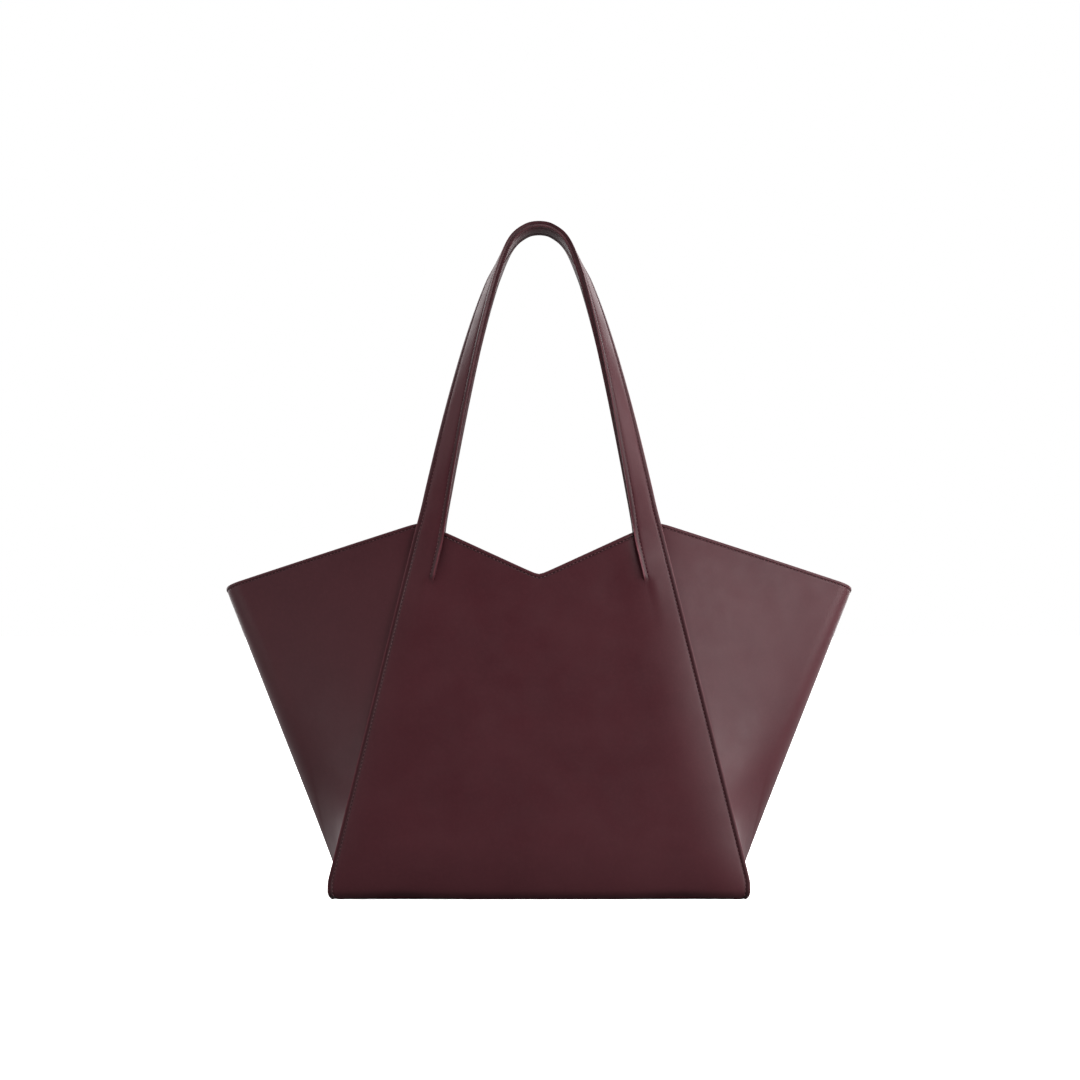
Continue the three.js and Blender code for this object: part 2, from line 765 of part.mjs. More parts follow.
function makeSide(name, turn, fittings) {
  const leaning = new THREE.Group();
  leaning.position.y = -BASE_DEPTH / 2;
  leaning.rotation.x = -LEAN;
  leaning.add(
    piece(`${name}_panel`, standingSheet(panelShape(), 0, PANEL_T), leather),
    piece(`${name}_stiffener`, standingSheet(stiffenerShape(), ALLOWANCE_DEPTH, STIFFENER_T), fibre),
    piece(`${name}_facing`, standingSheet(facingShape(), INNER_DEPTH, FACING_T), suede),
    piece(`${name}_lining`, standingSheet(liningShape(), INNER_DEPTH, LINING_T), cloth),
    ...fittings,
  );
  const side = new THREE.Group();
  side.rotation.z = turn;
  side.add(leaning, makeStrap(name));
  return side;
}

const bag = new THREE.Group();
bag.add(
  makeSide("front", 0, [makeSnapHalf("stud", makeStud())]),
  makeSide("back", Math.PI, [makeSnapHalf("socket", makeSocket()), makePocket()]),
  makeGusset("right", 0),
  makeGusset("left", Math.PI),
  makeBase(),
);

export default bag;
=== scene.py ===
"""A winged leather tote with two shoulder straps: leather, thread and lining on its CAD frame."""
import math
from dataclasses import dataclass

import bpy
import numpy as np
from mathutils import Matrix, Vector


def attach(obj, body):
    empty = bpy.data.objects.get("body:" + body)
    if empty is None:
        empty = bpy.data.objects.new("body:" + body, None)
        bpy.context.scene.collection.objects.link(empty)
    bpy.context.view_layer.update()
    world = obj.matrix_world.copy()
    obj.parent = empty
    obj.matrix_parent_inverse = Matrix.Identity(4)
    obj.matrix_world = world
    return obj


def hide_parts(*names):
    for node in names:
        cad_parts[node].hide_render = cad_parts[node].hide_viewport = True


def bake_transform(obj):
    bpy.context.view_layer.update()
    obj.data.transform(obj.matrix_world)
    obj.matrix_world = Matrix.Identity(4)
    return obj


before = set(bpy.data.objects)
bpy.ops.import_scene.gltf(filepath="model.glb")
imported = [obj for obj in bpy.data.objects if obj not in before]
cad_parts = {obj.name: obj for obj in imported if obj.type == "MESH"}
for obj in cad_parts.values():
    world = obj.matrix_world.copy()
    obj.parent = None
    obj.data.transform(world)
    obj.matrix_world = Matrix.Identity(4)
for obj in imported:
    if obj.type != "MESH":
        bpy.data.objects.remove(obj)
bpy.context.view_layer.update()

MM = 0.001
HALF_TURN = np.array([-1.0, -1.0, 1.0])
MIRROR = np.array([-1.0, 1.0, 1.0])

# Sizes of the CAD frame
BASE_WIDTH = 324 * MM
BASE_DEPTH = 140 * MM
TOP_DEPTH = 110 * MM
SHOULDER = 287 * MM
NECK = 250 * MM
KNEE = 14 * MM
CORNER_R = 6 * MM
WING_SPAN = 498 * MM
WING_TOP = 238.5 * MM
WING_BOW = 1.5 * MM
WING_STEP = 0.8 * MM
FOLD_R_TOP = 16 * MM
FOLD_R_BASE = 40 * MM
PANEL_T = 1.6 * MM
GUSSET_T = 1.4 * MM
FACING_T = 0.9 * MM
LINING_T = 0.7 * MM
GAP = 0.3 * MM
LAP = 6.5 * MM
FACING_Z = 215 * MM
TRAY_H = 10 * MM
DART_LENGTH = 41 * MM
DART_TILT = math.radians(13.2)
NECK_STEP = 3.7 * MM
STRAP_W = 20.5 * MM
STRAP_T = 4.6 * MM
STRAP_TOP = 526.5 * MM
ROOT_X = 83.6 * MM
ROOT_W = 23 * MM
ROOT_FLARE = 12 * MM
ROOT_TILT = math.radians(11.8)
ROOT_GAP = 0.7 * MM
ROOT_HANDLE = 20 * MM
CROWN_R = 28.3 * MM
CROWN_TILT = math.radians(30)
CROWN_HANDLE = 52 * MM
CROWN_GAP = 1.2 * MM
QUICK_TURN = {"front": 0.17, "back": 0.45}
QUICK_TURN_SPAN = 0.08
STEADY_TURN = 0.82
LATE_TURN_POWER = 11
POCKET_WIDTH = 190 * MM
POCKET_HEIGHT = 105 * MM
POCKET_T = 0.8 * MM
POCKET_CORNER_R = 12 * MM
ZIP_DROP = 63 * MM
ZIP_LENGTH = 152 * MM
TAPE_W = 6 * MM
TAPE_T = 0.5 * MM
TAPE_OVERHANG = 12 * MM
TAPE_SPLIT = 0.8 * MM

# Sizes that follow from these
LEAN = math.atan((BASE_DEPTH - TOP_DEPTH) / 2 / SHOULDER)
SHOULDER_TOP = SHOULDER * math.cos(LEAN)
SEAM_TOP = SHOULDER - WING_STEP
ALLOWANCE_DEPTH = PANEL_T + GAP
INNER_DEPTH = ALLOWANCE_DEPTH + GUSSET_T + GAP
LINING_INSET = GUSSET_T + GAP + 0.5 * MM
FACING_V = FACING_Z / SHOULDER
ZIP_Z = NECK - ZIP_DROP
TAPE_DEPTH = INNER_DEPTH + LINING_T + GAP
STRAP_LEAN = math.atan(
    (TOP_DEPTH / 2 - STRAP_T / 2 - STRAP_W / 2 - CROWN_GAP / 2) / (STRAP_TOP - SHOULDER_TOP)
)

# Soft forms, borders and seams that the CAD sheets leave out
BULGE = 4.6 * MM
BULGE_ROLL = 40 * MM
BULGE_ROLL_POWER = 2.4
BULGE_FOOT = 45 * MM
BULGE_EASE = 0.3
BULGE_EASE_SPAN = (130 * MM, 280 * MM)
BULGE_WAVE = 0.25 * MM
DIMPLE = 0.9 * MM
DIMPLE_X = 56 * MM
DIMPLE_S = 240 * MM
DIMPLE_W = 17 * MM
DIMPLE_H = 24 * MM
WALL_BOW = -2.5 * MM
BEAD_H = 0.32 * MM
BEAD_W = 3.2 * MM
GROOVE_H = 0.42 * MM
GROOVE_W = 0.5 * MM
STITCH_IN = 3.4 * MM
STRAP_LAYER = 2.25 * MM
STRAP_PAD = 0.55 * MM
NECK_RISE = 3.5 * MM
NECK_SOFT = 0.035
WING_SAG = 2.0 * MM
WING_CROWN = 5.2 * MM
WING_CROWN_EASE = 0.012
CORNER_TUCK = 1.2 * MM
FACING_CLOSES = 16 * MM
INNER_GAP = 0.1 * MM
DART_LIFT = 0.9 * MM
BAND_TURN = 2.2 * MM
BAND_TURN_SPAN = (-40 * MM, 30 * MM)
BAND_TURN_FADE = (0, 30 * MM)
EDGE_SINK = 2 * MM
EDGE_SINK_SPAN = (205 * MM, 275 * MM)
DART_PRESS = 0.4 * MM
# Painted highlight along the darts' folded ridges
RIDGE_HIGHLIGHT = 0.7
DART_SINK = 0.8 * MM
DART_TUCK = 3 * MM
DART_FADE = 5 * MM
DART_BLEND = 9 * MM
DART_W = 3 * MM
DART_SHADE = 0.35
BACK_SPLAY = 4.2 * MM
# Painted light along sewn borders: a painted highlight at the cut edge, painted shade over the border and
# in the stitches' groove, and along the mouth painted shade in the groove only
EDGE_HIGHLIGHT = 0.55
EDGE_DARK = 0.5
EDGE_DARK_FROM = 1.4 * MM
EDGE_DARK_FADE = 1.2 * MM
SEAM_DARK = 0.65
TOP_SEAM_DARK = 0.95
TOP_SEAM_W = 0.95 * MM
SEAM_DARK_W = 0.6 * MM
FOOT_CURL = 1.6 * MM
FOOT_TURN = 8 * MM
# Painted shade where the foot turns under the bag
FOOT_DARK = 0.75
FOOT_LIFT = 2.3 * MM
FOOT_LIFT_X = 108 * MM
FOOT_LIFT_W = 26 * MM
FOOT_LIFT_H = 25 * MM
BAND_FOOT_X = 141 * MM

# Widths of the borders along the neckline and the wings' tops, as shares of the other borders' widths
NECK_SHARE = 0.85
TOP_SHARE = 0.62

# Where the leather becomes strap, from the strap's root up
STRAP_SPAN = (-25 * MM, 15 * MM)

# How far the edges of each kind of sheet are rounded over
PANEL_ROUND = 0.42 * MM
GUSSET_ROUND = 0.3 * MM
FACING_ROUND = 0.22 * MM
CLOTH_ROUND = 0.2 * MM
TAPE_ROUND = 0.12 * MM

# Thread
STITCH_PITCH = 3 * MM
STITCH_LENGTH = 1.6 * MM
STITCH_R = 0.42 * MM


# Helpers


def smooth(t):
    """0 below 0, 1 above 1, and a soft step between."""
    t = np.clip(t, 0, 1)
    return t * t * (3 - 2 * t)


def over(value, span):
    """0 before a span, 1 after it, and a soft step between."""
    start, end = span
    return smooth((value - start) / (end - start))


def lerp(a, b, t):
    return a + (b - a) * t


def unit(vectors):
    return vectors / np.linalg.norm(vectors, axis=-1, keepdims=True)


def distances(line):
    """How far along a line each of its points lies."""
    steps = np.linalg.norm(np.diff(line, axis=0), axis=1)
    return np.concatenate([[0], np.cumsum(steps)])


def picked(values, length, where):
    """Values along a line at some distances from its start."""
    return np.stack([np.interp(where, length, column) for column in values.T], axis=1)


def both_halves(left, mirror=MIRROR):
    """A row of the left half's values, then the same over the right half in reverse."""
    return np.concatenate([left, (left * mirror)[-2::-1]])


def line_at(d, place, width):
    """1 at a place, fading to both sides."""
    return np.exp(-(((d - place) / width) ** 2))


def panel_point(x, s, depth=0.0):
    """A point of the front panel's own plane: across, up its lean, and behind its outer face."""
    y = -BASE_DEPTH / 2 + s * math.sin(LEAN) + depth * math.cos(LEAN)
    z = s * math.cos(LEAN) - depth * math.sin(LEAN)
    x, y, z = np.broadcast_arrays(x, y, z)
    return np.stack([x, y, z], axis=-1)


PANEL_OUT = np.array([0.0, -math.cos(LEAN), math.sin(LEAN)])


def edge_relief(d):
    """The height of a sewn border at a distance from its edge: a bead, then the stitches' groove."""
    bead = BEAD_H * np.sin(np.pi * np.clip(d / BEAD_W, 0, 1))
    return bead - GROOVE_H * line_at(d, STITCH_IN, GROOVE_W)


def edge_dark(d):
    """Painted light along a sewn border: a painted highlight at its cut edge, painted shade over the border
    up to the stitches and in their groove.
    """
    border = smooth(d / EDGE_DARK_FROM) * smooth((STITCH_IN - d) / EDGE_DARK_FADE)
    seam = SEAM_DARK * line_at(d, STITCH_IN, SEAM_DARK_W)
    return EDGE_DARK * border + seam - EDGE_HIGHLIGHT * line_at(d, 0, SEAM_DARK_W)


def top_dark(d):
    """The same along the edges of the mouth, where only the stitches' groove gets painted shade."""
    return TOP_SEAM_DARK * line_at(d, STITCH_IN, TOP_SEAM_W)


def foot_dark(s):
    """Painted shade at a panel's foot, which turns under the bag, with a painted highlight along its bottom
    edge.
    """
    return FOOT_DARK * smooth(1 - s / FOOT_TURN) - EDGE_HIGHLIGHT * line_at(s, 0, SEAM_DARK_W)


def foot_curl(s):
    return FOOT_CURL * np.clip(1 - s / FOOT_TURN, 0, 1) ** 2


def foot_lift(x, s):
    """How far the foot rides up between the corners and the middle, where it stands on the floor."""
    along = line_at(np.abs(x), FOOT_LIFT_X, FOOT_LIFT_W)
    return FOOT_LIFT * along * np.clip(1 - s / FOOT_LIFT_H, 0, 1) ** 2


def edge_sink(s):
    """How far a panel's side edge sinks towards the strap's root, where the leather starts to turn."""
    return EDGE_SINK * over(s, EDGE_SINK_SPAN)


# Outline of the panels


def root_point(across):
    reach = across * ROOT_W / 2
    return np.array(
        [ROOT_X + reach * math.cos(ROOT_TILT), SHOULDER + reach * math.sin(ROOT_TILT) - ROOT_GAP]
    )


ROOT_OUTER = root_point(1)
ROOT_INNER = root_point(-1)
DART_ALONG = np.array([math.sin(DART_TILT), -math.cos(DART_TILT)])
DART_END = ROOT_INNER + DART_ALONG * DART_LENGTH
NECK_END = ROOT_INNER + DART_ALONG * NECK_STEP


def side_x(s):
    rise = np.maximum(s - KNEE, 0) / (ROOT_OUTER[1] - KNEE)
    return lerp(BASE_WIDTH / 2, ROOT_OUTER[0], rise)


def outline_x(s):
    """The panel's half width, with its rounded bottom corners."""
    under = np.clip(CORNER_R - s, 0, CORNER_R)
    return side_x(s) - CORNER_R + np.sqrt(CORNER_R**2 - under**2)


def band_x(s):
    """The inner edge of the band up the panel's side: the dart, and a line from its end down."""
    low = lerp(BAND_FOOT_X, DART_END[0], s / DART_END[1])
    high = lerp(DART_END[0], ROOT_INNER[0], (s - DART_END[1]) / (ROOT_INNER[1] - DART_END[1]))
    return np.where(s < DART_END[1], low, high)


def bulge(x, s):
    """How far the filled panel stands proud: it rolls off towards its sides and its foot."""
    from_side = np.clip((side_x(s) - np.abs(x) - STITCH_IN) / BULGE_ROLL, 0, 1)
    from_foot = np.clip(s / BULGE_FOOT, 0, 1)
    roll = (1 - (1 - from_side) ** BULGE_ROLL_POWER) * (1 - (1 - from_foot) ** 2)
    upper = 1 - BULGE_EASE * over(s, BULGE_EASE_SPAN)
    dimple = DIMPLE * line_at(np.abs(x), DIMPLE_X, DIMPLE_W) * line_at(s, DIMPLE_S, DIMPLE_H)
    wave = BULGE_WAVE * np.sin(x * 31 + 1.3) * np.sin(s * 24 + 0.4)
    return (BULGE + wave) * roll * upper - dimple


# The band up each side of a panel, which goes on over the shoulder as the strap

EDGE_STEPS = np.array([0, 0.5, 1.1, 1.7, 2.2, 2.8, 3.4, 4.0, 5.0, 7.0]) * MM
SEW_STEP = 6
MIDDLE_COLUMNS = 4
FOOT_ROWS = np.array([0.6, 1, 1.5, 2.2, 3.4, 5, 7, 10, 13]) * MM
FOOT_SEW_ROW = 3
LOW_ROWS = 59
HIGH_ROWS = 18
LEG_ROWS = 64
ARC_ROWS = 21
ROOT_SKIP = 4 * MM

# Heights of the rows up the band's inner edge, with one at the dart's end
ROWS_BELOW_DART = np.linspace(FOOT_ROWS[-1], DART_END[1], LOW_ROWS + 1)[1:]
ROWS_ALONG_DART = np.linspace(DART_END[1], ROOT_INNER[1] - ROOT_SKIP, HIGH_ROWS + 1)[1:]
PANEL_ROWS = np.concatenate([FOOT_ROWS, ROWS_BELOW_DART, ROWS_ALONG_DART])
DART_ROW = len(FOOT_ROWS) + LOW_ROWS - 1


def strap_path():
    """The left half of a strap's middle line: points, headings, distances and shares of the leg."""
    top = (STRAP_TOP - SHOULDER_TOP) / math.cos(STRAP_LEAN)
    crown = np.array([0, top - CROWN_R])
    join = crown + CROWN_R * np.array([-math.cos(CROWN_TILT), math.sin(CROWN_TILT)])
    root = np.array([-ROOT_X, 0])
    above = root + ROOT_HANDLE * np.array([math.sin(ROOT_TILT), math.cos(ROOT_TILT)])
    below = join - CROWN_HANDLE * np.array([math.sin(CROWN_TILT), math.cos(CROWN_TILT)])
    t = np.linspace(0, 1, 600)[:, None]
    ends = (1 - t) ** 3 * root + t**3 * join
    leg = ends + 3 * t * (1 - t) ** 2 * above + 3 * t**2 * (1 - t) * below
    length = distances(leg)
    along = np.linspace(ROOT_SKIP, length[-1], LEG_ROWS)
    at = picked(leg, length, along)
    heading = unit(picked(np.gradient(leg, axis=0), length, along))
    share = along / length[-1]
    angle = np.linspace(math.pi - CROWN_TILT, math.pi / 2, ARC_ROWS + 1)[1:, None]
    arc = crown + CROWN_R * np.hstack([np.cos(angle), np.sin(angle)])
    arc_heading = np.hstack([np.sin(angle), -np.cos(angle)])
    arc_along = length[-1] + CROWN_R * (math.pi - CROWN_TILT - angle[:, 0])
    return (
        np.vstack([at, arc]),
        np.vstack([heading, arc_heading]),
        np.concatenate([along, arc_along]),
        np.concatenate([share, np.ones(len(arc))]),
    )


def turn_at(share, quick):
    """The share of a quarter turn that a strap has made at a share of its leg's length."""
    settled = (1 - np.exp(-share / QUICK_TURN_SPAN)) / (1 - math.exp(-1 / QUICK_TURN_SPAN))
    later = lerp(share**LATE_TURN_POWER, share, STEADY_TURN)
    return lerp(later, settled, quick)


def strap_rings(quick):
    """The left half of a strap: edges, face normals, distances, and how far each ring is from the crown."""
    at, heading, along, leg_share = strap_path()
    right = np.array([1.0, 0, 0])
    up = np.array([0, math.sin(STRAP_LEAN), math.cos(STRAP_LEAN)])
    front = np.array([0, -math.cos(STRAP_LEAN), math.sin(STRAP_LEAN)])
    turn = (turn_at(leg_share, quick) * math.pi / 2)[:, None]
    forward = heading[:, :1] * right + heading[:, 1:] * up
    outward = -heading[:, 1:] * right + heading[:, :1] * up
    face = np.cos(turn) * front + np.sin(turn) * outward
    across = np.cross(forward, face)
    half = (STRAP_W + (ROOT_W - STRAP_W) * np.exp(-along / ROOT_FLARE))[:, None] / 2
    origin = np.array([0, STRAP_T / 2 - TOP_DEPTH / 2, SHOULDER_TOP])
    middle = origin + at[:, :1] * right + at[:, 1:] * up + face * STRAP_T / 2
    return middle - across * half, middle + across * half, face, along, 1 - leg_share


ROOT_RELAX = 22 * MM
ROOT_ROUNDS = 10
CROWN_RELAX = 26 * MM
CROWN_ROUNDS = 40
RELAX_FADE = 8 * MM


def relax(rows, along, leg):
    """Eases the bends at the strap's root and its crown by averaging rows there with their neighbours."""
    for place, reach, rounds in ((0, ROOT_RELAX, ROOT_ROUNDS), (leg, CROWN_RELAX, CROWN_ROUNDS)):
        weight = smooth((reach - np.abs(along - place)) / RELAX_FADE)[1:-1, None] * 0.5
        for _ in range(rounds):
            rows[1:-1] += weight * ((rows[:-2] + rows[2:]) / 2 - rows[1:-1])
    return rows


INSET_FADE = (-10 * MM, 0)


class Band:
    """A panel's side band and strap as rings: edges on the face's plane, and distances from the root."""

    def __init__(self, first_row, inset, quick, splay):
        s_in = PANEL_ROWS[first_row:]
        s_out = s_in * ROOT_OUTER[1] / ROOT_INNER[1]
        panel_along = (s_in + s_out) / 2 - SHOULDER
        ease = inset * (1 - over(panel_along, INSET_FADE))
        x_out, x_in = outline_x(s_out) - ease, band_x(s_in)
        outer = panel_point(-x_out, s_out + foot_lift(x_out, s_out))
        inner = panel_point(-x_in, s_in + foot_lift(x_in, s_in))
        face = np.broadcast_to(PANEL_OUT, inner.shape)
        strap_outer, strap_inner, strap_face, strap_along, strap_left = strap_rings(quick)
        along = np.concatenate([panel_along, strap_along])
        shoulder = over(s_in, (DART_END[1], ROOT_INNER[1]))
        aside = np.outer(np.concatenate([shoulder, strap_left]), [-splay, 0, 0])
        leg = np.max(strap_along[strap_left > 0])
        self.outer = both_halves(relax(np.vstack([outer, strap_outer]) + aside, along, leg))
        self.inner = both_halves(relax(np.vstack([inner, strap_inner]) + aside, along, leg))
        self.face = both_halves(unit(relax(np.vstack([face, strap_face]), along, leg)))
        self.along = both_halves(along, 1)
        self.s = both_halves(np.concatenate([s_in, np.full(len(strap_along), SHOULDER)]), 1)[:, None]
        self.panel_rows = len(s_in)
        width = np.linalg.norm(self.inner - self.outer, axis=1)
        self.d = across_steps(width)
        self.width = width[:, None]
        self.strap_share = over(self.along[:, None], STRAP_SPAN)
        across = self.d / self.width
        before = 1 - over(self.along[:, None], BAND_TURN_FADE)
        self.turned = BAND_TURN * across * before * over(self.s - DART_END[1], BAND_TURN_SPAN)
        self.sink = edge_sink(self.s) * before * (1 - across)

    def points(self, depth):
        share = (self.d / self.width)[..., None]
        flat = lerp(self.outer[:, None], self.inner[:, None], share)
        return flat - self.face[:, None] * (depth + self.sink)[..., None]

    def x(self):
        return lerp(self.outer[:, :1], self.inner[:, :1], self.d / self.width)


def across_steps(width):
    """Distances from the outer edge of each ring's columns, close together along both edges."""
    near = np.broadcast_to(EDGE_STEPS, (len(width), len(EDGE_STEPS)))
    far = width[:, None] - near[:, ::-1]
    share = np.linspace(0, 1, MIDDLE_COLUMNS + 2)[1:-1]
    middle = lerp(near[:, -1:], far[:, :1], share)
    return np.hstack([near, middle, far])


@dataclass
class Grid:
    """Rows of points of a sheet's middle surface, its thickness, and the painted shade and highlights laid
    on its colour.
    """

    points: np.ndarray
    thickness: np.ndarray
    dark: np.ndarray

    def turned(self, turn):
        return Grid(self.points * turn, self.thickness, self.dark)


def strap_pad(band):
    """1 along the middle of the strap and 0 at its sewn edges."""
    half = band.width / 2
    off = np.abs(band.d - half) / (half - STITCH_IN)
    return np.sqrt(np.clip(1 - off**2, 0, 1))


def face_band(band):
    """The outer layer of a band and strap, whose inner edge runs out as a folded ridge, the dart."""
    from_inner = band.width - band.d
    dart = smooth((band.s - DART_END[1]) / DART_FADE)
    relief = edge_relief(band.d) + band.strap_share * edge_relief(from_inner)
    ridge = dart * (1 - band.strap_share)
    # Painted shade over the sewn borders, in the stitch grooves and at the foot; painted highlights along
    # the cut edges and the dart's ridge
    dark = edge_dark(band.d) + foot_dark(band.s) + dart * edge_dark(from_inner)
    dark = dark - ridge * RIDGE_HIGHLIGHT * smooth(1 - from_inner / DART_W)
    lift = DART_LIFT * ridge * smooth(1 - from_inner / DART_W)
    turned = band.turned * (1 - (1 - dart) * smooth(1 - from_inner / DART_BLEND))
    press = DART_PRESS * ridge * line_at(from_inner, STITCH_IN, GROOVE_W)
    panel_depth = PANEL_T / 2 - bulge(band.x(), band.s) + foot_curl(band.s)
    strap_depth = STRAP_T / 4 - STRAP_PAD * strap_pad(band)
    depth = lerp(panel_depth, strap_depth, band.strap_share) - relief - lift - turned + press
    folded = np.maximum(band.strap_share, ridge * smooth(1 - from_inner / (2 * DART_W)))
    return Grid(band.points(depth), lerp(PANEL_T, STRAP_LAYER, folded), dark)


def facing_depth(x, s, from_neck, clear):
    """The depth of a facing: it closes on the panel towards the neckline, clear of the side seams."""
    shut = smooth(1 - from_neck / FACING_CLOSES) * clear
    shut_depth = PANEL_T + GAP / 3 + FACING_T / 2 - bulge(x, s)
    return lerp(INNER_DEPTH + FACING_T / 2, shut_depth, shut)


def backing_band(band):
    """The inner layer of a band and strap."""
    sewn = band.strap_share
    relief = sewn * (edge_relief(band.d) + edge_relief(band.width - band.d))
    # Painted shade over the strap's sewn borders and in its stitch grooves, with a painted highlight along
    # its cut edges
    dark = sewn * (edge_dark(band.d) + edge_dark(band.width - band.d))
    clear = smooth((band.d - LAP) / (band.width - LAP))
    panel_depth = facing_depth(band.x(), band.s, ROOT_INNER[1] - band.s, clear)
    strap_depth = STRAP_T * 3 / 4 + STRAP_PAD * strap_pad(band)
    depth = lerp(panel_depth, strap_depth, sewn) + relief - band.turned * sewn
    thickness = lerp(FACING_T, STRAP_LAYER, np.broadcast_to(sewn, depth.shape))
    return Grid(band.points(depth), thickness, dark)


# The middle of a panel between its darts: columns across it, and rows up to the neckline

CENTRE_STEPS = np.concatenate([[0, 1, 2, 3.2, 5, 8, 12], np.linspace(16, 83, 18)]) * MM
CENTRE_SHARES = both_halves(CENTRE_STEPS / CENTRE_STEPS[-1] - 1, -1)
NECK_STEPS = np.concatenate([EDGE_STEPS * NECK_SHARE, [7 * MM], np.linspace(10.5, 32, 9) * MM])
NECK_ROWS = 1 - NECK_STEPS[-2::-1] / NECK_STEPS[-1]
NECK_SEW_ROW = -1 - SEW_STEP
TUCK_SPAN = (0.93, 1)
PRESS_SPAN = (0.92, 0.98)
PRESS_RISE = 1.6
BACKING_SPAN = (0.85, 1)


@dataclass
class Centre:
    """The middle of a panel: places, its foot's rise, distances from the neckline, and the darts' press,
    which also lays painted shade beside the darts.
    """

    x: np.ndarray
    s: np.ndarray
    lift: np.ndarray
    from_neck: np.ndarray
    pressed: np.ndarray


def centre_sheet(first_row, tuck):
    share = CENTRE_SHARES
    side = np.abs(share)
    low_s = PANEL_ROWS[first_row : DART_ROW + 1, None]
    neck_x = share * NECK_END[0]
    reach = tuck * over(side, TUCK_SPAN)
    rise = NECK_END[1] + NECK_RISE - NECK
    neck_s = NECK + rise * (np.hypot(side, NECK_SOFT) - NECK_SOFT + reach / NECK_END[0])
    end_s = DART_END[1] * lerp(NECK, NECK_END[1], side) / NECK_END[1]
    low_x = share * band_x(low_s)
    low = low_s * end_s / DART_END[1]
    t = NECK_ROWS[:, None]
    press = smooth(t * PRESS_RISE)
    under = reach * press * np.sign(share)
    high_x = lerp(share * DART_END[0], neck_x, t) + under
    high_s = lerp(end_s, neck_s, t)
    from_neck = np.vstack([neck_s - low, neck_s - high_s])
    pressed = np.vstack([np.zeros_like(low), press * over(side, PRESS_SPAN)])
    x, s = np.vstack([low_x, high_x]), np.vstack([low, high_s])
    return Centre(x, s, foot_lift(x, s), from_neck, pressed)


def face_centre():
    c = centre_sheet(0, DART_TUCK)
    # Painted shade in the neckline's stitch groove, at the foot and beside the darts under the band's
    # ridge, with a painted highlight at the foot's edge
    dark = top_dark(c.from_neck / NECK_SHARE) + foot_dark(c.s) + DART_SHADE * c.pressed**3
    press = DART_SINK * c.pressed - edge_relief(c.from_neck / NECK_SHARE)
    depth = PANEL_T / 2 - bulge(c.x, c.s) + foot_curl(c.s) + press
    return Grid(panel_point(c.x, c.s + c.lift, depth), np.full(c.x.shape, PANEL_T), dark)


def backing_centre(first_row):
    """The facing behind the neckline, which thickens beside the straps' roots."""
    c = centre_sheet(first_row, 0.0)
    along = c.s * (1 + ROOT_OUTER[1] / ROOT_INNER[1]) / 2 - SHOULDER
    sewn = over(along, STRAP_SPAN) * over(np.abs(c.x) / band_x(c.s), BACKING_SPAN)
    depth = lerp(facing_depth(c.x, c.s, c.from_neck, 1.0), STRAP_T * 3 / 4, sewn)
    thickness = lerp(FACING_T, STRAP_LAYER, sewn)
    # Painted shade in the neckline's stitch groove
    return Grid(panel_point(c.x, c.s, depth), thickness, top_dark(c.from_neck / NECK_SHARE))


# Gussets, which fold out into the wings

PLAN_CORNER = 6
PLAN_WALL = 26
PLAN_FOLD = 14
FLAP_STEPS = 3
SEAM_EASE = 5 * MM
WALL_BOW_FROM = 0.35
WALL_BOW_LOSS = 0.4
WING_ROW = 5 * MM
FLAP_CUT_SPAN = (0.8, 0.92)
CORNER_TUCK_SPAN = (0.86, 0.96)


def seam_place(z):
    """Where the right gusset's outer side meets the front panel at a height."""
    depth = BASE_DEPTH / 2 - z * math.tan(LEAN) - ALLOWANCE_DEPTH - edge_sink(z)
    return np.array([float(side_x(z)) - LAP, -depth])


def plan_line(share, seam, flap, flap_steps):
    """The right gusset's outline at a share of its height, from its flap to the fold's tip."""
    sag = WING_SAG * math.sin(math.pi * share**0.4)
    tip_x = lerp(BASE_WIDTH / 2 - LAP + WING_BOW, WING_SPAN / 2, share) - sag
    radius = lerp(FOLD_R_BASE, FOLD_R_TOP, share)
    to_centre = np.array([tip_x - radius, 0]) - seam
    reach = np.linalg.norm(to_centre)
    angle = math.atan2(to_centre[1], to_centre[0]) - math.asin(radius / reach)
    wall = np.array([math.cos(angle), math.sin(angle)])
    wall_length = math.sqrt(reach**2 - radius**2)
    ease = min(SEAM_EASE, wall_length / 4)
    before = seam - np.array([min(ease, 0.6 * flap), 0])
    after = seam + wall * ease
    start = seam - np.array([flap, 0])
    t = np.linspace(0, 1, PLAN_CORNER + 1)[:, None]
    corner = (1 - t) ** 2 * before + 2 * t * (1 - t) * seam + t**2 * after
    run = np.linspace(ease, wall_length, PLAN_WALL + 1)[1:, None]
    bowed = WALL_BOW * smooth(share / WALL_BOW_FROM) * (1 - WALL_BOW_LOSS * share)
    bow = np.sin(np.pi * run / wall_length) * bowed
    flat = seam + wall * run + bow * np.array([-wall[1], wall[0]])
    turn = np.linspace(angle - math.pi / 2, 0, PLAN_FOLD + 1)[1:, None]
    fold = np.array([tip_x - radius, 0]) + radius * np.hstack([np.cos(turn), np.sin(turn)])
    strip = lerp(start, before, np.linspace(0, 1, flap_steps + 1)[:-1, None])
    return np.vstack([strip, corner, flat, fold])


def half_plan(share, flap, flap_steps, slant):
    """The same outline with its heights: it arches a little from the seam down to the tip."""
    seam_z, tip_z = share * SEAM_TOP, share * WING_TOP
    plan = plan_line(share, seam_place(seam_z), flap, flap_steps)
    along = distances(plan) - flap
    f = np.clip(along / along[-1], 0, 1)
    crown = share * WING_CROWN * (1 - f) * (1 - np.exp(-f / WING_CROWN_EASE))
    z = lerp(seam_z, tip_z, f) + crown + slant * share * np.minimum(along, 0)
    return np.column_stack([plan, z])


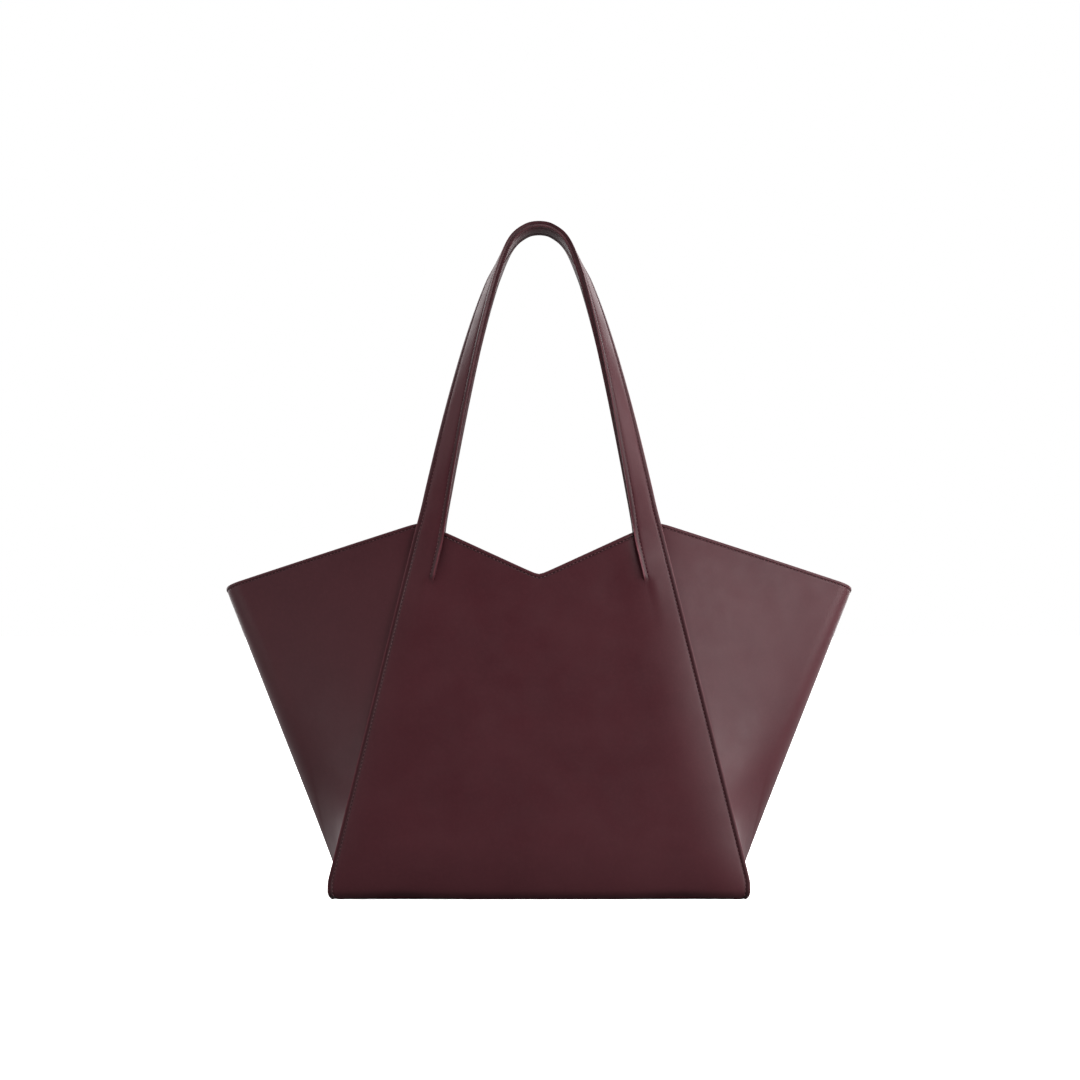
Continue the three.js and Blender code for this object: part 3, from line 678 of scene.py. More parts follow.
def whole_plan(share, offset, flap, flap_steps=FLAP_STEPS, slant=0.5):
    """The gusset's outline from its front seam round the fold to its back seam, moved inwards."""
    plan = both_halves(half_plan(share, flap, flap_steps, slant), np.array([1, -1, 1]))
    along = np.gradient(plan[:, :2], axis=0)
    inward = unit(np.column_stack([-along[:, 1], along[:, 0]]))
    return plan + np.column_stack([inward * np.reshape(offset, (-1, 1)), np.zeros(len(plan))])


def near_seam():
    """1 where a gusset's outline lies behind a panel, and 0 past the seam's turn."""
    half = np.arange(FLAP_STEPS + PLAN_CORNER + 1 + PLAN_WALL + PLAN_FOLD)
    behind = smooth((FLAP_STEPS + PLAN_CORNER + 3 - half) / 6)
    return both_halves(behind, 1)


TOP_STEPS = np.concatenate([EDGE_STEPS * TOP_SHARE, np.array([9, 13, 18]) * MM])


def gusset_shares(low):
    top = 1 - TOP_STEPS[::-1] / WING_TOP
    rows = max(2, round((top[0] - low) * WING_TOP / WING_ROW))
    return np.concatenate([np.linspace(low, top[0], rows)[:-1], top])


def gusset_grid(low, offset, flap, thickness, side):
    """A sheet of a gusset from a share of its height up; its sewn top edge shows on the given side."""
    shares = gusset_shares(low)
    from_top = (1 - shares) * WING_TOP / TOP_SHARE
    flaps = lerp(flap, flap / 5, over(shares, FLAP_CUT_SPAN))
    tucks = CORNER_TUCK * over(shares, CORNER_TUCK_SPAN)
    offsets = offset - side * edge_relief(from_top)[:, None] + np.outer(tucks, near_seam())
    plans = [whole_plan(v, o, f) for v, o, f in zip(shares, offsets, flaps)]
    points = np.array(plans)
    # Painted shade in the stitch groove along the top edge
    dark = np.broadcast_to(top_dark(from_top)[:, None], points.shape[:2])
    return Grid(points, np.full(points.shape[:2], thickness), dark)


# Meshes

WELD_GAP = 0.002 * MM


def add_object(name, data):
    obj = bpy.data.objects.new(name, data)
    bpy.context.scene.collection.objects.link(obj)
    return obj


def mesh_object(name, points, faces, materials):
    mesh = bpy.data.meshes.new(name)
    mesh.from_pydata([tuple(p) for p in points], [], faces)
    for polygon in mesh.polygons:
        polygon.use_smooth = True
    for material in materials:
        mesh.materials.append(material)
    return add_object(name, mesh)


def grid_faces(rows, columns, start, closed=False):
    """Quads over a grid of points that are numbered row by row from start."""
    spans = columns if closed else columns - 1
    faces = []
    for r in range(rows - 1):
        for c in range(spans):
            low = start + r * columns
            after = (c + 1) % columns
            faces.append((low + c, low + after, low + columns + after, low + columns + c))
    return faces


def thicken(obj, thickness, rounding):
    """Gives a sheet its thickness, with its cut edges in the second material and rounded over."""
    full = float(np.max(thickness))
    group = obj.vertex_groups.new(name="thickness")
    for index, share in enumerate(thickness / full):
        group.add([index], float(share), "REPLACE")
    solid = obj.modifiers.new("thickness", "SOLIDIFY")
    solid.thickness = full
    solid.offset = 0
    solid.vertex_group = group.name
    solid.material_offset_rim = 1
    edge = obj.modifiers.new("rounding", "BEVEL")
    edge.width = rounding
    edge.segments = 2
    edge.limit_method = "ANGLE"
    edge.angle_limit = math.radians(55)


def apply_modifiers(obj):
    bpy.context.view_layer.update()
    graph = bpy.context.evaluated_depsgraph_get()
    evaluated = obj.evaluated_get(graph)
    mesh = bpy.data.meshes.new_from_object(evaluated, preserve_all_data_layers=True, depsgraph=graph)
    obj.modifiers.clear()
    obj.vertex_groups.clear()
    obj.data = mesh


def sheet_object(name, grids, rounding, material, rim=None, closed=False):
    """One sheet of leather or cloth from grids that share edges; its rim may have its own material."""
    faces = []
    start = 0
    for grid in grids:
        rows, columns = grid.points.shape[:2]
        faces += grid_faces(rows, columns, start, closed)
        start += rows * columns
    points = np.vstack([grid.points.reshape(-1, 3) for grid in grids])
    thickness = np.concatenate([np.ravel(grid.thickness) for grid in grids])
    dark = np.concatenate([np.ravel(grid.dark) for grid in grids])
    obj = mesh_object(name, points, faces, [material, rim or material])
    # Painted shade (above 0) and painted highlights (below 0) for the sheet's colour
    attribute = obj.data.attributes.new("dark", "FLOAT", "POINT")
    attribute.data.foreach_set("value", np.clip(dark, -1, 1))
    if len(grids) > 1:
        obj.modifiers.new("weld", "WELD").merge_threshold = WELD_GAP
    thicken(obj, thickness, rounding)
    apply_modifiers(obj)
    return obj


# Stitching

STITCH_SIDES = 6
# Rings of a stitch: place, radius and height
STITCH_HALF = np.array([(-0.5, 0.35, -0.5), (-0.4, 0.85, 0.25), (0.0, 1.0, 0.55)])
STITCH_RINGS = both_halves(STITCH_HALF, np.array([-1, 1, 1]))


def stitch_template():
    """One stitch along x with its ends sunk, in shares of its length and radius."""
    turn = np.linspace(0, 2 * np.pi, STITCH_SIDES, endpoint=False)
    rings = []
    for along, radius, height in STITCH_RINGS:
        round_x = np.full(STITCH_SIDES, along)
        rings.append(np.column_stack([round_x, radius * np.cos(turn), radius * np.sin(turn) + height]))
    return np.vstack(rings)


def stitch_faces(start):
    rings = len(STITCH_RINGS)
    faces = grid_faces(rings, STITCH_SIDES, start, closed=True)
    last = start + (rings - 1) * STITCH_SIDES
    faces.append(tuple(range(start + STITCH_SIDES - 1, start - 1, -1)))
    faces.append(tuple(range(last, last + STITCH_SIDES)))
    return faces


def stitches_along(points, normals):
    """Points of the stitches that fit along a line on a surface."""
    length = distances(points)
    count = int(length[-1] / STITCH_PITCH)
    at = (np.arange(count) + 0.5) * length[-1] / count
    half = STITCH_LENGTH / 2
    along = unit(picked(points, length, at + half) - picked(points, length, at - half))
    up = picked(normals, length, at)
    up = unit(up - along * np.sum(up * along, axis=1, keepdims=True))
    side = np.cross(up, along)
    template = stitch_template()
    offsets = (
        along[:, None] * template[:, :1] * STITCH_LENGTH
        + side[:, None] * template[:, 1:2] * STITCH_R
        + up[:, None] * template[:, 2:] * STITCH_R
    )
    return picked(points, length, at)[:, None] + offsets


def sew(name, lines, material):
    """All the stitches along some lines as one piece; a line is its points and the normals there."""
    rows = np.concatenate([stitches_along(*line) for line in lines])
    faces = []
    for i in range(len(rows)):
        faces += stitch_faces(i * rows.shape[1])
    return mesh_object(name, rows.reshape(-1, 3), faces, [material])


def surface_line(grid, side, rows, columns):
    """A line on one side of a sheet, along a row or column of its grid, with its normals."""
    along = np.gradient(grid.points, axis=1)
    normals = unit(np.cross(along, np.gradient(grid.points, axis=0))) * side
    line = (grid.points + normals * grid.thickness[..., None] / 2)[rows, columns]
    return line, normals[rows, columns]


# Materials


def fill(node, inputs):
    """Sets inputs of a node, whose names have underscores for spaces here."""
    for socket, value in inputs.items():
        node.inputs[socket.replace("_", " ")].default_value = value


class Finish:
    """A procedural material and its Principled shader."""

    def __init__(self, name, colour, roughness, **sockets):
        self.material = bpy.data.materials.new(name)
        self.material.use_nodes = True
        self.shader = self.material.node_tree.nodes["Principled BSDF"]
        self.shader.inputs["Base Color"].default_value = (*colour, 1)
        self.shader.inputs["Roughness"].default_value = roughness
        fill(self.shader, sockets)

    def node(self, kind, **inputs):
        node = self.material.node_tree.nodes.new(kind)
        fill(node, inputs)
        return node

    def link(self, output, socket):
        self.material.node_tree.links.new(output, socket)

    def use(self, output, socket):
        self.link(output, self.shader.inputs[socket])

    def place(self, stretch=(1, 1, 1)):
        """Coordinates on the object in metres."""
        source = self.node("ShaderNodeTexCoord")
        mapping = self.node("ShaderNodeMapping", Scale=stretch)
        self.link(source.outputs["Object"], mapping.inputs["Vector"])
        return mapping.outputs["Vector"]

    def painted_light(self):
        """Painted shade (above 0) and painted highlights (below 0) along seams, edges and the foot, from
        the mesh's dark attribute.
        """
        node = self.node("ShaderNodeAttribute")
        node.attribute_name = "dark"
        return node.outputs["Fac"]

    def texture(self, kind, place, **inputs):
        node = self.node(f"ShaderNodeTex{kind}", **inputs)
        self.link(place, node.inputs["Vector"])
        return node

    def noise(self, place, scale, detail=3.0):
        node = self.texture("Noise", place, Scale=scale, Detail=detail, Roughness=0.55)
        return node.outputs["Fac"]

    def cells(self, place, scale):
        node = self.texture("Voronoi", place, Scale=scale)
        node.feature = "SMOOTH_F1"
        return node.outputs["Distance"]

    def waves(self, place, scale, direction):
        node = self.texture("Wave", place, Scale=scale, Distortion=0.6, Detail=1.0)
        node.bands_direction = direction
        return node.outputs["Fac"]

    def between(self, value, low, high, start=0.3, end=0.7):
        """Maps a value from one range onto another."""
        node = self.node("ShaderNodeMapRange")
        for index, number in enumerate((start, end, low, high), 1):
            node.inputs[index].default_value = number
        self.link(value, node.inputs[0])
        return node.outputs[0]

    def ramp(self, value, dark, light, start=0.3, end=0.7):
        """Runs from one colour to another along a value."""
        node = self.node("ShaderNodeValToRGB")
        for element, place, colour in zip(node.color_ramp.elements, (start, end), (dark, light)):
            element.position = place
            element.color = (*colour, 1)
        self.link(value, node.inputs[0])
        return node.outputs["Color"]

    def mix(self, share, a, b):
        """Mixes two colours; the node keeps its sockets for colours at 6 and 7."""
        node = self.node("ShaderNodeMix")
        node.data_type = "RGBA"
        for socket, output in ((0, share), (6, a), (7, b)):
            self.link(output, node.inputs[socket])
        return node.outputs[2]

    def bump(self, *layers):
        """Bump maps one over another: each is a height, its strength and its depth in metres."""
        previous = None
        for height, strength, distance in layers:
            node = self.node("ShaderNodeBump", Strength=strength, Distance=distance)
            self.link(height, node.inputs["Height"])
            if previous:
                self.link(previous, node.inputs["Normal"])
            previous = node.outputs["Normal"]
        self.use(previous, "Normal")


def scaled(colour, share):
    return tuple(c * share for c in colour)


def leather_material(name, dark, light, roughness, grain):
    """Smooth finished hide: fine grain, soft mottling and uneven polish, with painted shade in the stitch
    grooves, over sewn borders and at the foot, and painted highlights along cut edges and the darts'
    ridges.
    """
    finish = Finish(name, light, roughness, Specular_IOR_Level=LEATHER_SHINE)
    place = finish.place()
    mottle = finish.noise(place, 16, 4)
    fleck = finish.noise(place, 420, 2)
    base = finish.ramp(mottle, dark, light, end=0.72)
    shade = finish.ramp(fleck, scaled(dark, 0.86), scaled(light, 1.1))
    hide = finish.mix(finish.between(fleck, 0.1, 0.3), base, shade)
    # Painted light: seam is the colour of the painted shade, worn the colour of the painted highlights
    seam = finish.ramp(fleck, scaled(dark, 0.18), scaled(dark, 0.26))
    worn = finish.ramp(fleck, scaled(light, 1.9), scaled(light, 2.5))
    painted_light = finish.painted_light()
    # Painted shade where the dark attribute is above 0, painted highlights where it is below 0
    shaded = finish.mix(finish.between(painted_light, 0, 1, 0, 1), hide, seam)
    highlighted = finish.mix(finish.between(painted_light, 0, 1, 0, -1), shaded, worn)
    finish.use(highlighted, "Base Color")
    polish = finish.noise(place, 55, 5)
    finish.use(finish.between(polish, roughness - 0.05, roughness + 0.06), "Roughness")
    slack = finish.noise(place, 75, 2)
    pores = finish.noise(place, 2600, 2)
    finish.bump(
        (slack, 0.25, 0.12 * MM),
        (finish.cells(place, 1150), grain, 0.05 * MM),
        (pores, grain * 0.6, 0.03 * MM),
    )
    return finish.material


def paint_material(name, colour):
    """Edge paint over the cut edges: smooth, a little uneven."""
    finish = Finish(name, colour, 0.5, Specular_IOR_Level=0.2)
    place = finish.place()
    worn = finish.noise(place, 160)
    finish.use(finish.ramp(worn, colour, scaled(colour, 1.7), 0.42, 0.8), "Base Color")
    finish.bump((finish.noise(place, 700, 2), 0.3, 0.06 * MM))
    return finish.material


def thread_material(name, dark, light):
    """Twisted bonded thread."""
    finish = Finish(name, dark, 0.6, Specular_IOR_Level=0.25)
    fibres = finish.noise(finish.place(), 3800, 2)
    finish.use(finish.ramp(fibres, dark, light), "Base Color")
    finish.bump((fibres, 0.5, 0.08 * MM))
    return finish.material


def cloth_material(name, dark, light, pitch):
    """Twill: fine slanted ribs over a plain weave."""
    finish = Finish(name, light, 0.85, Sheen_Weight=0.2, Sheen_Roughness=0.4)
    place = finish.place()
    wave_scale = math.pi / 10 / pitch
    ribs = finish.waves(place, wave_scale, "DIAGONAL")
    weft = finish.waves(place, wave_scale * 1.6, "Z")
    worn = finish.noise(place, 34, 4)
    base = finish.ramp(ribs, dark, light, 0.15, 0.85)
    faded = finish.ramp(worn, dark, light, end=0.75)
    finish.use(finish.mix(finish.between(worn, 0.2, 0.5), base, faded), "Base Color")
    finish.bump((ribs, 0.35, 0.15 * MM), (weft, 0.25, 0.1 * MM))
    return finish.material


def metal_material(name, dark, light):
    """Plated metal, brushed along the zip, with small scuffs."""
    finish = Finish(name, light, 0.3, Metallic=1.0)
    brushed = finish.noise(finish.place((60, 900, 900)), 1, 4)
    scuffs = finish.noise(finish.place(), 240, 4)
    finish.use(finish.ramp(scuffs, dark, light, 0.35, 0.62), "Base Color")
    finish.use(finish.between(brushed, 0.22, 0.42), "Roughness")
    finish.bump((brushed, 0.15, 0.02 * MM))
    return finish.material


LEATHER_SHINE = 0.18
HIDE_DARK = (0.041, 0.0083, 0.0119)
HIDE_LIGHT = (0.0515, 0.0116, 0.0157)
FACING_DARK = (0.036, 0.0082, 0.0112)
FACING_LIGHT = (0.047, 0.0112, 0.015)
OXBLOOD = leather_material("oxblood_leather", HIDE_DARK, HIDE_LIGHT, roughness=0.42, grain=0.1)
FACING = leather_material("facing_leather", FACING_DARK, FACING_LIGHT, roughness=0.5, grain=0.16)
EDGE_PAINT = paint_material("edge_paint", (0.03, 0.0066, 0.009))
THREAD = thread_material("thread", (0.065, 0.02, 0.025), (0.098, 0.033, 0.04))
TWILL = cloth_material("lining_twill", (0.115, 0.07, 0.062), (0.19, 0.125, 0.11), 0.9 * MM)
TAPE = cloth_material("zip_tape", (0.03, 0.009, 0.012), (0.055, 0.018, 0.022), 0.6 * MM)
GILT = metal_material("plated_metal", (0.62, 0.47, 0.27), (0.78, 0.63, 0.4))


# Front and back: leather, facing and stitching of a panel and its strap


def band_lines(grid, side, first):
    """The stitch lines along both edges of a strip, from a row to the same one at its other end."""
    rows = slice(first, len(grid.points) - first)
    return [surface_line(grid, side, rows, column) for column in (SEW_STEP, -1 - SEW_STEP)]


def face_lines(band, centre):
    """Stitch lines on the outside of a panel and strap."""
    outer = band_lines(band, 1, FOOT_SEW_ROW)[0]
    inner = band_lines(band, 1, DART_ROW + 2)[1]
    neck = surface_line(centre, 1, NECK_SEW_ROW, slice(3, -3))
    return [outer, inner, neck]


FACING_ROW = int(np.searchsorted(PANEL_ROWS, FACING_Z))
OUTER_FLAP = 6 * MM
INNER_FLAP = 2 * MM


def on_shell(*pieces):
    """Sets pieces on the sewn shell; the slot that comes with each piece is not used."""
    for piece, slot in pieces:
        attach(piece, "shell")


def make_side(name, turn, splay):
    """A panel with its strap: both layers of leather and the stitching, in front or turned to the back."""
    face = face_band(Band(0, 0.0, QUICK_TURN[name], splay)).turned(turn)
    centre = face_centre().turned(turn)
    leather = sheet_object(f"{name}_leather", [face, centre], PANEL_ROUND, OXBLOOD, EDGE_PAINT)
    inner_band = Band(FACING_ROW, LAP + LINING_INSET, QUICK_TURN[name], splay)
    backing = backing_band(inner_band).turned(turn)
    middle = backing_centre(FACING_ROW).turned(turn)
    layers = [backing, middle]
    facing = sheet_object(f"{name}_facing_leather", layers, FACING_ROUND, FACING, EDGE_PAINT)
    lines = face_lines(face, centre) + band_lines(backing, -1, inner_band.panel_rows + 2)
    lines.append(surface_line(middle, -1, NECK_SEW_ROW, slice(3, -3)))
    thread = sew(f"{name}_stitching", lines, THREAD)
    for piece, slot in ((leather, "leather"), (facing, "facing"), (thread, "leather")):
        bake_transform(piece)
    hidden = ("panel", "stiffener", "strap_face", "strap_core")
    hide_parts(*(f"{name}_{part}" for part in hidden))
    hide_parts(f"{name}_facing", f"{name}_strap_backing")


def make_wing(name, turn):
    """A gusset with its facing along the top and its stitching."""
    outer = gusset_grid(0.0, GUSSET_T / 2, OUTER_FLAP, GUSSET_T, 1).turned(turn)
    leather = sheet_object(f"{name}_wing_leather", [outer], GUSSET_ROUND, OXBLOOD, EDGE_PAINT)
    depth = GUSSET_T + INNER_GAP + FACING_T / 2
    inner = gusset_grid(FACING_V, depth, INNER_FLAP, FACING_T, -1).turned(turn)
    facing = sheet_object(f"{name}_wing_facing", [inner], FACING_ROUND, FACING, EDGE_PAINT)
    lines = [
        surface_line(outer, 1, NECK_SEW_ROW, slice(FLAP_STEPS + 4, -FLAP_STEPS - 4)),
        surface_line(inner, -1, NECK_SEW_ROW, slice(4, -4)),
    ]
    thread = sew(f"{name}_wing_stitching", lines, THREAD)
    on_shell((leather, "leather"), (facing, "facing"), (thread, "leather"))
    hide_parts(f"{name}_gusset")
    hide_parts(f"{name}_gusset_facing")


# Base: how far in and how high each loop lies, from the foot of its walls to the middle of its floor

BASE_TURN = [(0.2 * MM, 2.4 * MM), (0.9 * MM, 1.3 * MM), (2.2 * MM, 0.8 * MM)]
BASE_FLOOR = [(6 * MM, 0.8 * MM), (20 * MM, 1.2 * MM), (40 * MM, 1.8 * MM), (60 * MM, 2 * MM)]
BASE_WALL_MIDDLE = 5 * MM
BASE_CORNER_R = 5 * MM
BASE_CORNER_R_LEAST = 1 * MM
BASE_LEAN_EXTRA = 4 * MM
BASE_LIFT_SPAN = (35 * MM, 60 * MM)


def rounded_loop(half_x, half_y, radius, z, steps=6):
    """A rounded rectangle at a height, anticlockwise from above."""
    corners = []
    for i, (sx, sy) in enumerate([(1, 1), (-1, 1), (-1, -1), (1, -1)]):
        turn = np.linspace(0, math.pi / 2, steps) + i * math.pi / 2
        x = sx * (half_x - radius) + radius * np.cos(turn)
        y = sy * (half_y - radius) + radius * np.sin(turn)
        corners.append(np.column_stack([x, y, np.full(steps, z)]))
    return np.vstack(corners)


def plain(points, thickness):
    """A grid of even thickness and colour."""
    return Grid(points, np.full(points.shape[:2], thickness), np.zeros(points.shape[:2]))


def make_base():
    """The base leather: a shallow tray whose bottom rises a little towards the middle."""
    half_x = BASE_WIDTH / 2 - LAP - GUSSET_T - GAP
    half_y = BASE_DEPTH / 2 - ALLOWANCE_DEPTH - FOOT_CURL
    lean_in = (TRAY_H + BASE_LEAN_EXTRA) * math.tan(LEAN) + GUSSET_T
    walls = [(lean_in, TRAY_H), (lean_in / 2, BASE_WALL_MIDDLE)]
    loops = []
    for inset, z in walls + BASE_TURN + BASE_FLOOR:
        radius = max(BASE_CORNER_R_LEAST, BASE_CORNER_R - inset)
        loops.append(rounded_loop(half_x - inset, half_y - inset, radius, z))
    tray = plain(np.array(loops), PANEL_T)
    x, y = tray.points[..., 0], tray.points[..., 1]
    tray.points[..., 2] += foot_lift(x, 0.0) * over(np.abs(y), BASE_LIFT_SPAN)
    base = sheet_object("base_leather", [tray], GUSSET_ROUND, OXBLOOD, EDGE_PAINT, closed=True)
    on_shell((base, "leather"))
    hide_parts("base_panel", "base_board")


# Lining and its zipped pocket

LINING_FOOT = 7 * MM
LINING_ROWS = 44
FRONT_STEPS = 22
LINING_SLACK = 1.5 * MM
LINING_LOOSE_X = (104 * MM, 134 * MM)
LINING_LOOSE_TOP = (FACING_Z, FACING_Z - 28 * MM)
LINING_LOOSE_FOOT = (LINING_FOOT, LINING_FOOT + 20 * MM)
LINING_TOP_GAP = 0.4 * MM
BASE_LINING_Z = 5.4 * MM
BASE_CLOTH_SLACK = 0.5 * MM
BASE_CLOTH_GAP_X = 2 * MM
BASE_CLOTH_GAP_Y = 1.2 * MM
POCKET_TOP = ZIP_Z - TAPE_SPLIT / 2 - TAPE_W - GAP
POCKET_FOOT = POCKET_TOP - POCKET_HEIGHT
POCKET_PUFF = 2.6 * MM
POCKET_SEW = 3 * MM
POCKET_END = 0.05 * MM
ROUND_STEPS = 9
TAPE_COLUMNS = 90
TAPE_STEPS = np.array([0, 0.6, 1.4, 3, 4.6, 5.4, 6]) * MM
TAPE_ROLL = 0.12 * MM
TAPE_SEW = 1.3 * MM


def cloth_waves(along, z):
    """Soft upright folds of slack cloth, from 0 to 1."""
    broad = np.sin(along * 62 + 2.2 * np.sin(z * 23 + 0.6))
    fine = np.sin(along * 147 + 1.7 * np.sin(z * 41) + 1.1)
    return (0.5 + 0.36 * broad + 0.14 * fine) * (0.75 + 0.25 * np.sin(z * 33 + along * 9))


def lining_offset(share):
    """How far inside the gusset's outer face the lining lies: slack, but flat behind the pocket."""
    flat = GUSSET_T + INNER_GAP + LINING_T / 2
    z = share * SEAM_TOP
    line = half_plan(share, seam_place(z)[0], FRONT_STEPS, 0)
    along = distances(line[:, :2])
    edge = over(z, LINING_LOOSE_TOP) * over(z, LINING_LOOSE_FOOT)
    slack = LINING_SLACK * edge * over(along, LINING_LOOSE_X)
    front = slack * cloth_waves(along, z)
    back = slack * cloth_waves(along + 0.37, z)
    return flat + np.concatenate([front, back[-2::-1]])


def lining_loop(share):
    """The lining at a share of the gussets' height, once round the bag."""
    middle = seam_place(share * SEAM_TOP)[0]
    right = whole_plan(share, lining_offset(share), middle, FRONT_STEPS, 0)
    return np.vstack([right[:-1], (right * HALF_TURN)[:-1]])


def make_lining(sewn_on):
    """The lining and the cloth over the base; the zip's tapes that it gets as sewn_on are not used."""
    shares = np.linspace(LINING_FOOT / SEAM_TOP, FACING_V - LINING_TOP_GAP / SEAM_TOP, LINING_ROWS)
    loops = plain(np.array([lining_loop(share) for share in shares]), LINING_T)
    lining = sheet_object("lining", [loops], CLOTH_ROUND, TWILL, closed=True)
    half_x = BASE_WIDTH / 2 - LAP - GUSSET_T - BASE_CLOTH_GAP_X
    half_y = BASE_DEPTH / 2 - INNER_DEPTH - BASE_CLOTH_GAP_Y
    across, y = np.meshgrid(np.linspace(-1, 1, 72), np.linspace(-half_y, half_y, 32))
    x = across * (half_x + WING_BOW * np.cos(y / half_y * math.pi / 2))
    z = BASE_LINING_Z + BASE_CLOTH_SLACK * cloth_waves(x + 0.5 * y, y)
    floor = plain(np.stack([x, y, z], axis=-1), LINING_T)
    base = sheet_object("base_cloth", [floor], CLOTH_ROUND, TWILL)
    on_shell((lining, "lining"), (base, "lining"))
    sides = ("front", "back", "left_gusset", "right_gusset")
    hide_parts(*(f"{side}_lining" for side in sides))
    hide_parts("base_lining")


def on_back(x, s, depth):
    """A point of the back side, seen from inside the bag."""
    return panel_point(x, s, depth) * HALF_TURN


def pocket_depth(x, s):
    """The patch bellies out between its sewn edges."""
    across = 1 - np.abs(x / (POCKET_WIDTH / 2)) ** 5
    up = np.clip((s - POCKET_FOOT) / POCKET_HEIGHT, 0, 1)
    belly = np.clip(across, 0, 1) * np.sin(math.pi * up**0.8) ** 0.7
    folds = 0.25 * np.sin(x * 70 + 1.2 * np.sin(s * 50)) + 0.1 * np.sin(x * 180 + s * 60)
    return TAPE_DEPTH + POCKET_T / 2 + POCKET_PUFF * belly * (0.8 + folds)


def pocket_half_width(s):
    from_end = np.minimum(s - POCKET_FOOT, POCKET_TOP - s)
    under = np.clip(POCKET_CORNER_R - from_end, 0, POCKET_CORNER_R)
    return POCKET_WIDTH / 2 - POCKET_CORNER_R + np.sqrt(POCKET_CORNER_R**2 - under**2)


def pocket_rows():
    corner = POCKET_CORNER_R * (1 - np.cos(np.linspace(0, math.pi / 2, ROUND_STEPS)))
    corner[0] = POCKET_END
    sides = np.linspace(POCKET_FOOT + POCKET_CORNER_R, POCKET_TOP - POCKET_CORNER_R, 34)
    return np.concatenate([POCKET_FOOT + corner[:-1], sides, POCKET_TOP - corner[-2::-1]])


def pocket_seam():
    """The stitch line round the patch, down one side, along its foot and up the other."""
    half = POCKET_WIDTH / 2 - POCKET_SEW
    radius = POCKET_CORNER_R - POCKET_SEW
    foot = POCKET_FOOT + POCKET_SEW
    top = POCKET_TOP - POCKET_SEW
    turn = np.linspace(0, math.pi / 2, ROUND_STEPS)
    side_s = np.linspace(top, foot + radius, 30)[:-1]
    left = np.column_stack([np.full(len(side_s), -half), side_s])
    corner_x = radius - half - radius * np.cos(turn)
    corner = np.column_stack([corner_x, foot + radius - radius * np.sin(turn)])
    floor = np.linspace(radius - half, 0, 20)[1:]
    half_line = np.vstack([left, corner, np.column_stack([floor, np.full(len(floor), foot)])])
    x, s = both_halves(half_line, np.array([-1, 1])).T
    points = on_back(x, s, pocket_depth(x, s) + POCKET_T / 2)
    return points, np.broadcast_to(-PANEL_OUT * HALF_TURN, points.shape)


def zip_tape(side):
    """One tape of the zip with a slight roll along its edges, and its stitch line."""
    half = ZIP_LENGTH / 2 + TAPE_OVERHANG
    x, d = np.meshgrid(np.linspace(-half, half, TAPE_COLUMNS), TAPE_STEPS)
    s = ZIP_Z + side * (TAPE_SPLIT / 2 + d)
    roll = TAPE_ROLL * np.sin(x * 210) * d / TAPE_W
    grid = plain(on_back(x, s, TAPE_DEPTH + TAPE_T / 2 + roll), TAPE_T)
    line_s = np.full(TAPE_COLUMNS, ZIP_Z + side * (TAPE_SPLIT / 2 + TAPE_W - TAPE_SEW))
    line = on_back(x[0], line_s, TAPE_DEPTH + TAPE_T)
    return grid, (line, np.broadcast_to(-PANEL_OUT * HALF_TURN, line.shape))


def make_pocket():
    """The patch, the zip's tapes and their stitching; returns the tapes."""
    s = pocket_rows()[:, None]
    x = np.linspace(-1, 1, 58) * pocket_half_width(s)
    s = np.broadcast_to(s, x.shape)
    cloth = plain(on_back(x, s, pocket_depth(x, s)), POCKET_T)
    patch = sheet_object("pocket_cloth", [cloth], CLOTH_ROUND, TWILL)
    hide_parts("pocket_patch")
    pieces = [(patch, "lining")]
    lines = [pocket_seam()]
    tapes = []
    for name, side in (("lower", -1), ("upper", 1)):
        grid, line = zip_tape(side)
        tape = sheet_object(f"zip_tape_{name}_cloth", [grid], TAPE_ROUND, TAPE)
        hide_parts(f"zip_tape_{name}")
        lines.append(line)
        pieces.append((tape, "tape"))
        tapes.append(tape)
    pieces.append((sew("pocket_stitching", lines, THREAD), "lining"))
    on_shell(*pieces)
    return tapes


make_side("front", np.ones(3), 0.0)
make_side("back", HALF_TURN, BACK_SPLAY)
make_wing("right", np.ones(3))
make_wing("left", HALF_TURN)
make_base()
make_lining(make_pocket())

METAL = ("zip_teeth", "zip_stop", "zip_slider", "zip_pull", "snap")
for name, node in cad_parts.items():
    if name.startswith(METAL):
        node.data.materials.clear()
        node.data.materials.append(GILT)


# Studio

FLOOR_SIZE = 60
FLOOR_SEEN = (1.25, 1.25, 1.25)
FLOOR_LIT = (0.2, 0.2, 0.2)
STUDIO_DIM = 0.04
CAMERA_PLACE = (0.8 * MM, -2.070, 0.2144)
CAMERA_PITCH = math.radians(1.764)
CAMERA_LENS = 86.58
SENSOR_WIDTH = 36
SUN_STRENGTH = 5.2
SUN_ANGLE = math.radians(80)


def make_floor():
    """A pale floor that shows white, but throws little light back up."""
    size = FLOOR_SIZE / 2
    corners = [(-size, -size, 0), (size, -size, 0), (size, size, 0), (-size, size, 0)]
    finish = Finish("pale_floor", FLOOR_SEEN, 0.9, Specular_IOR_Level=0.0)
    paper = finish.noise(finish.place(), 3)
    seen = finish.ramp(paper, FLOOR_SEEN, scaled(FLOOR_SEEN, 1.02))
    lit = finish.ramp(paper, FLOOR_LIT, scaled(FLOOR_LIT, 1.02))
    path = finish.node("ShaderNodeLightPath")
    finish.use(finish.mix(path.outputs["Is Camera Ray"], lit, seen), "Base Color")
    floor = mesh_object("floor", corners, [(0, 1, 2, 3)], [finish.material])


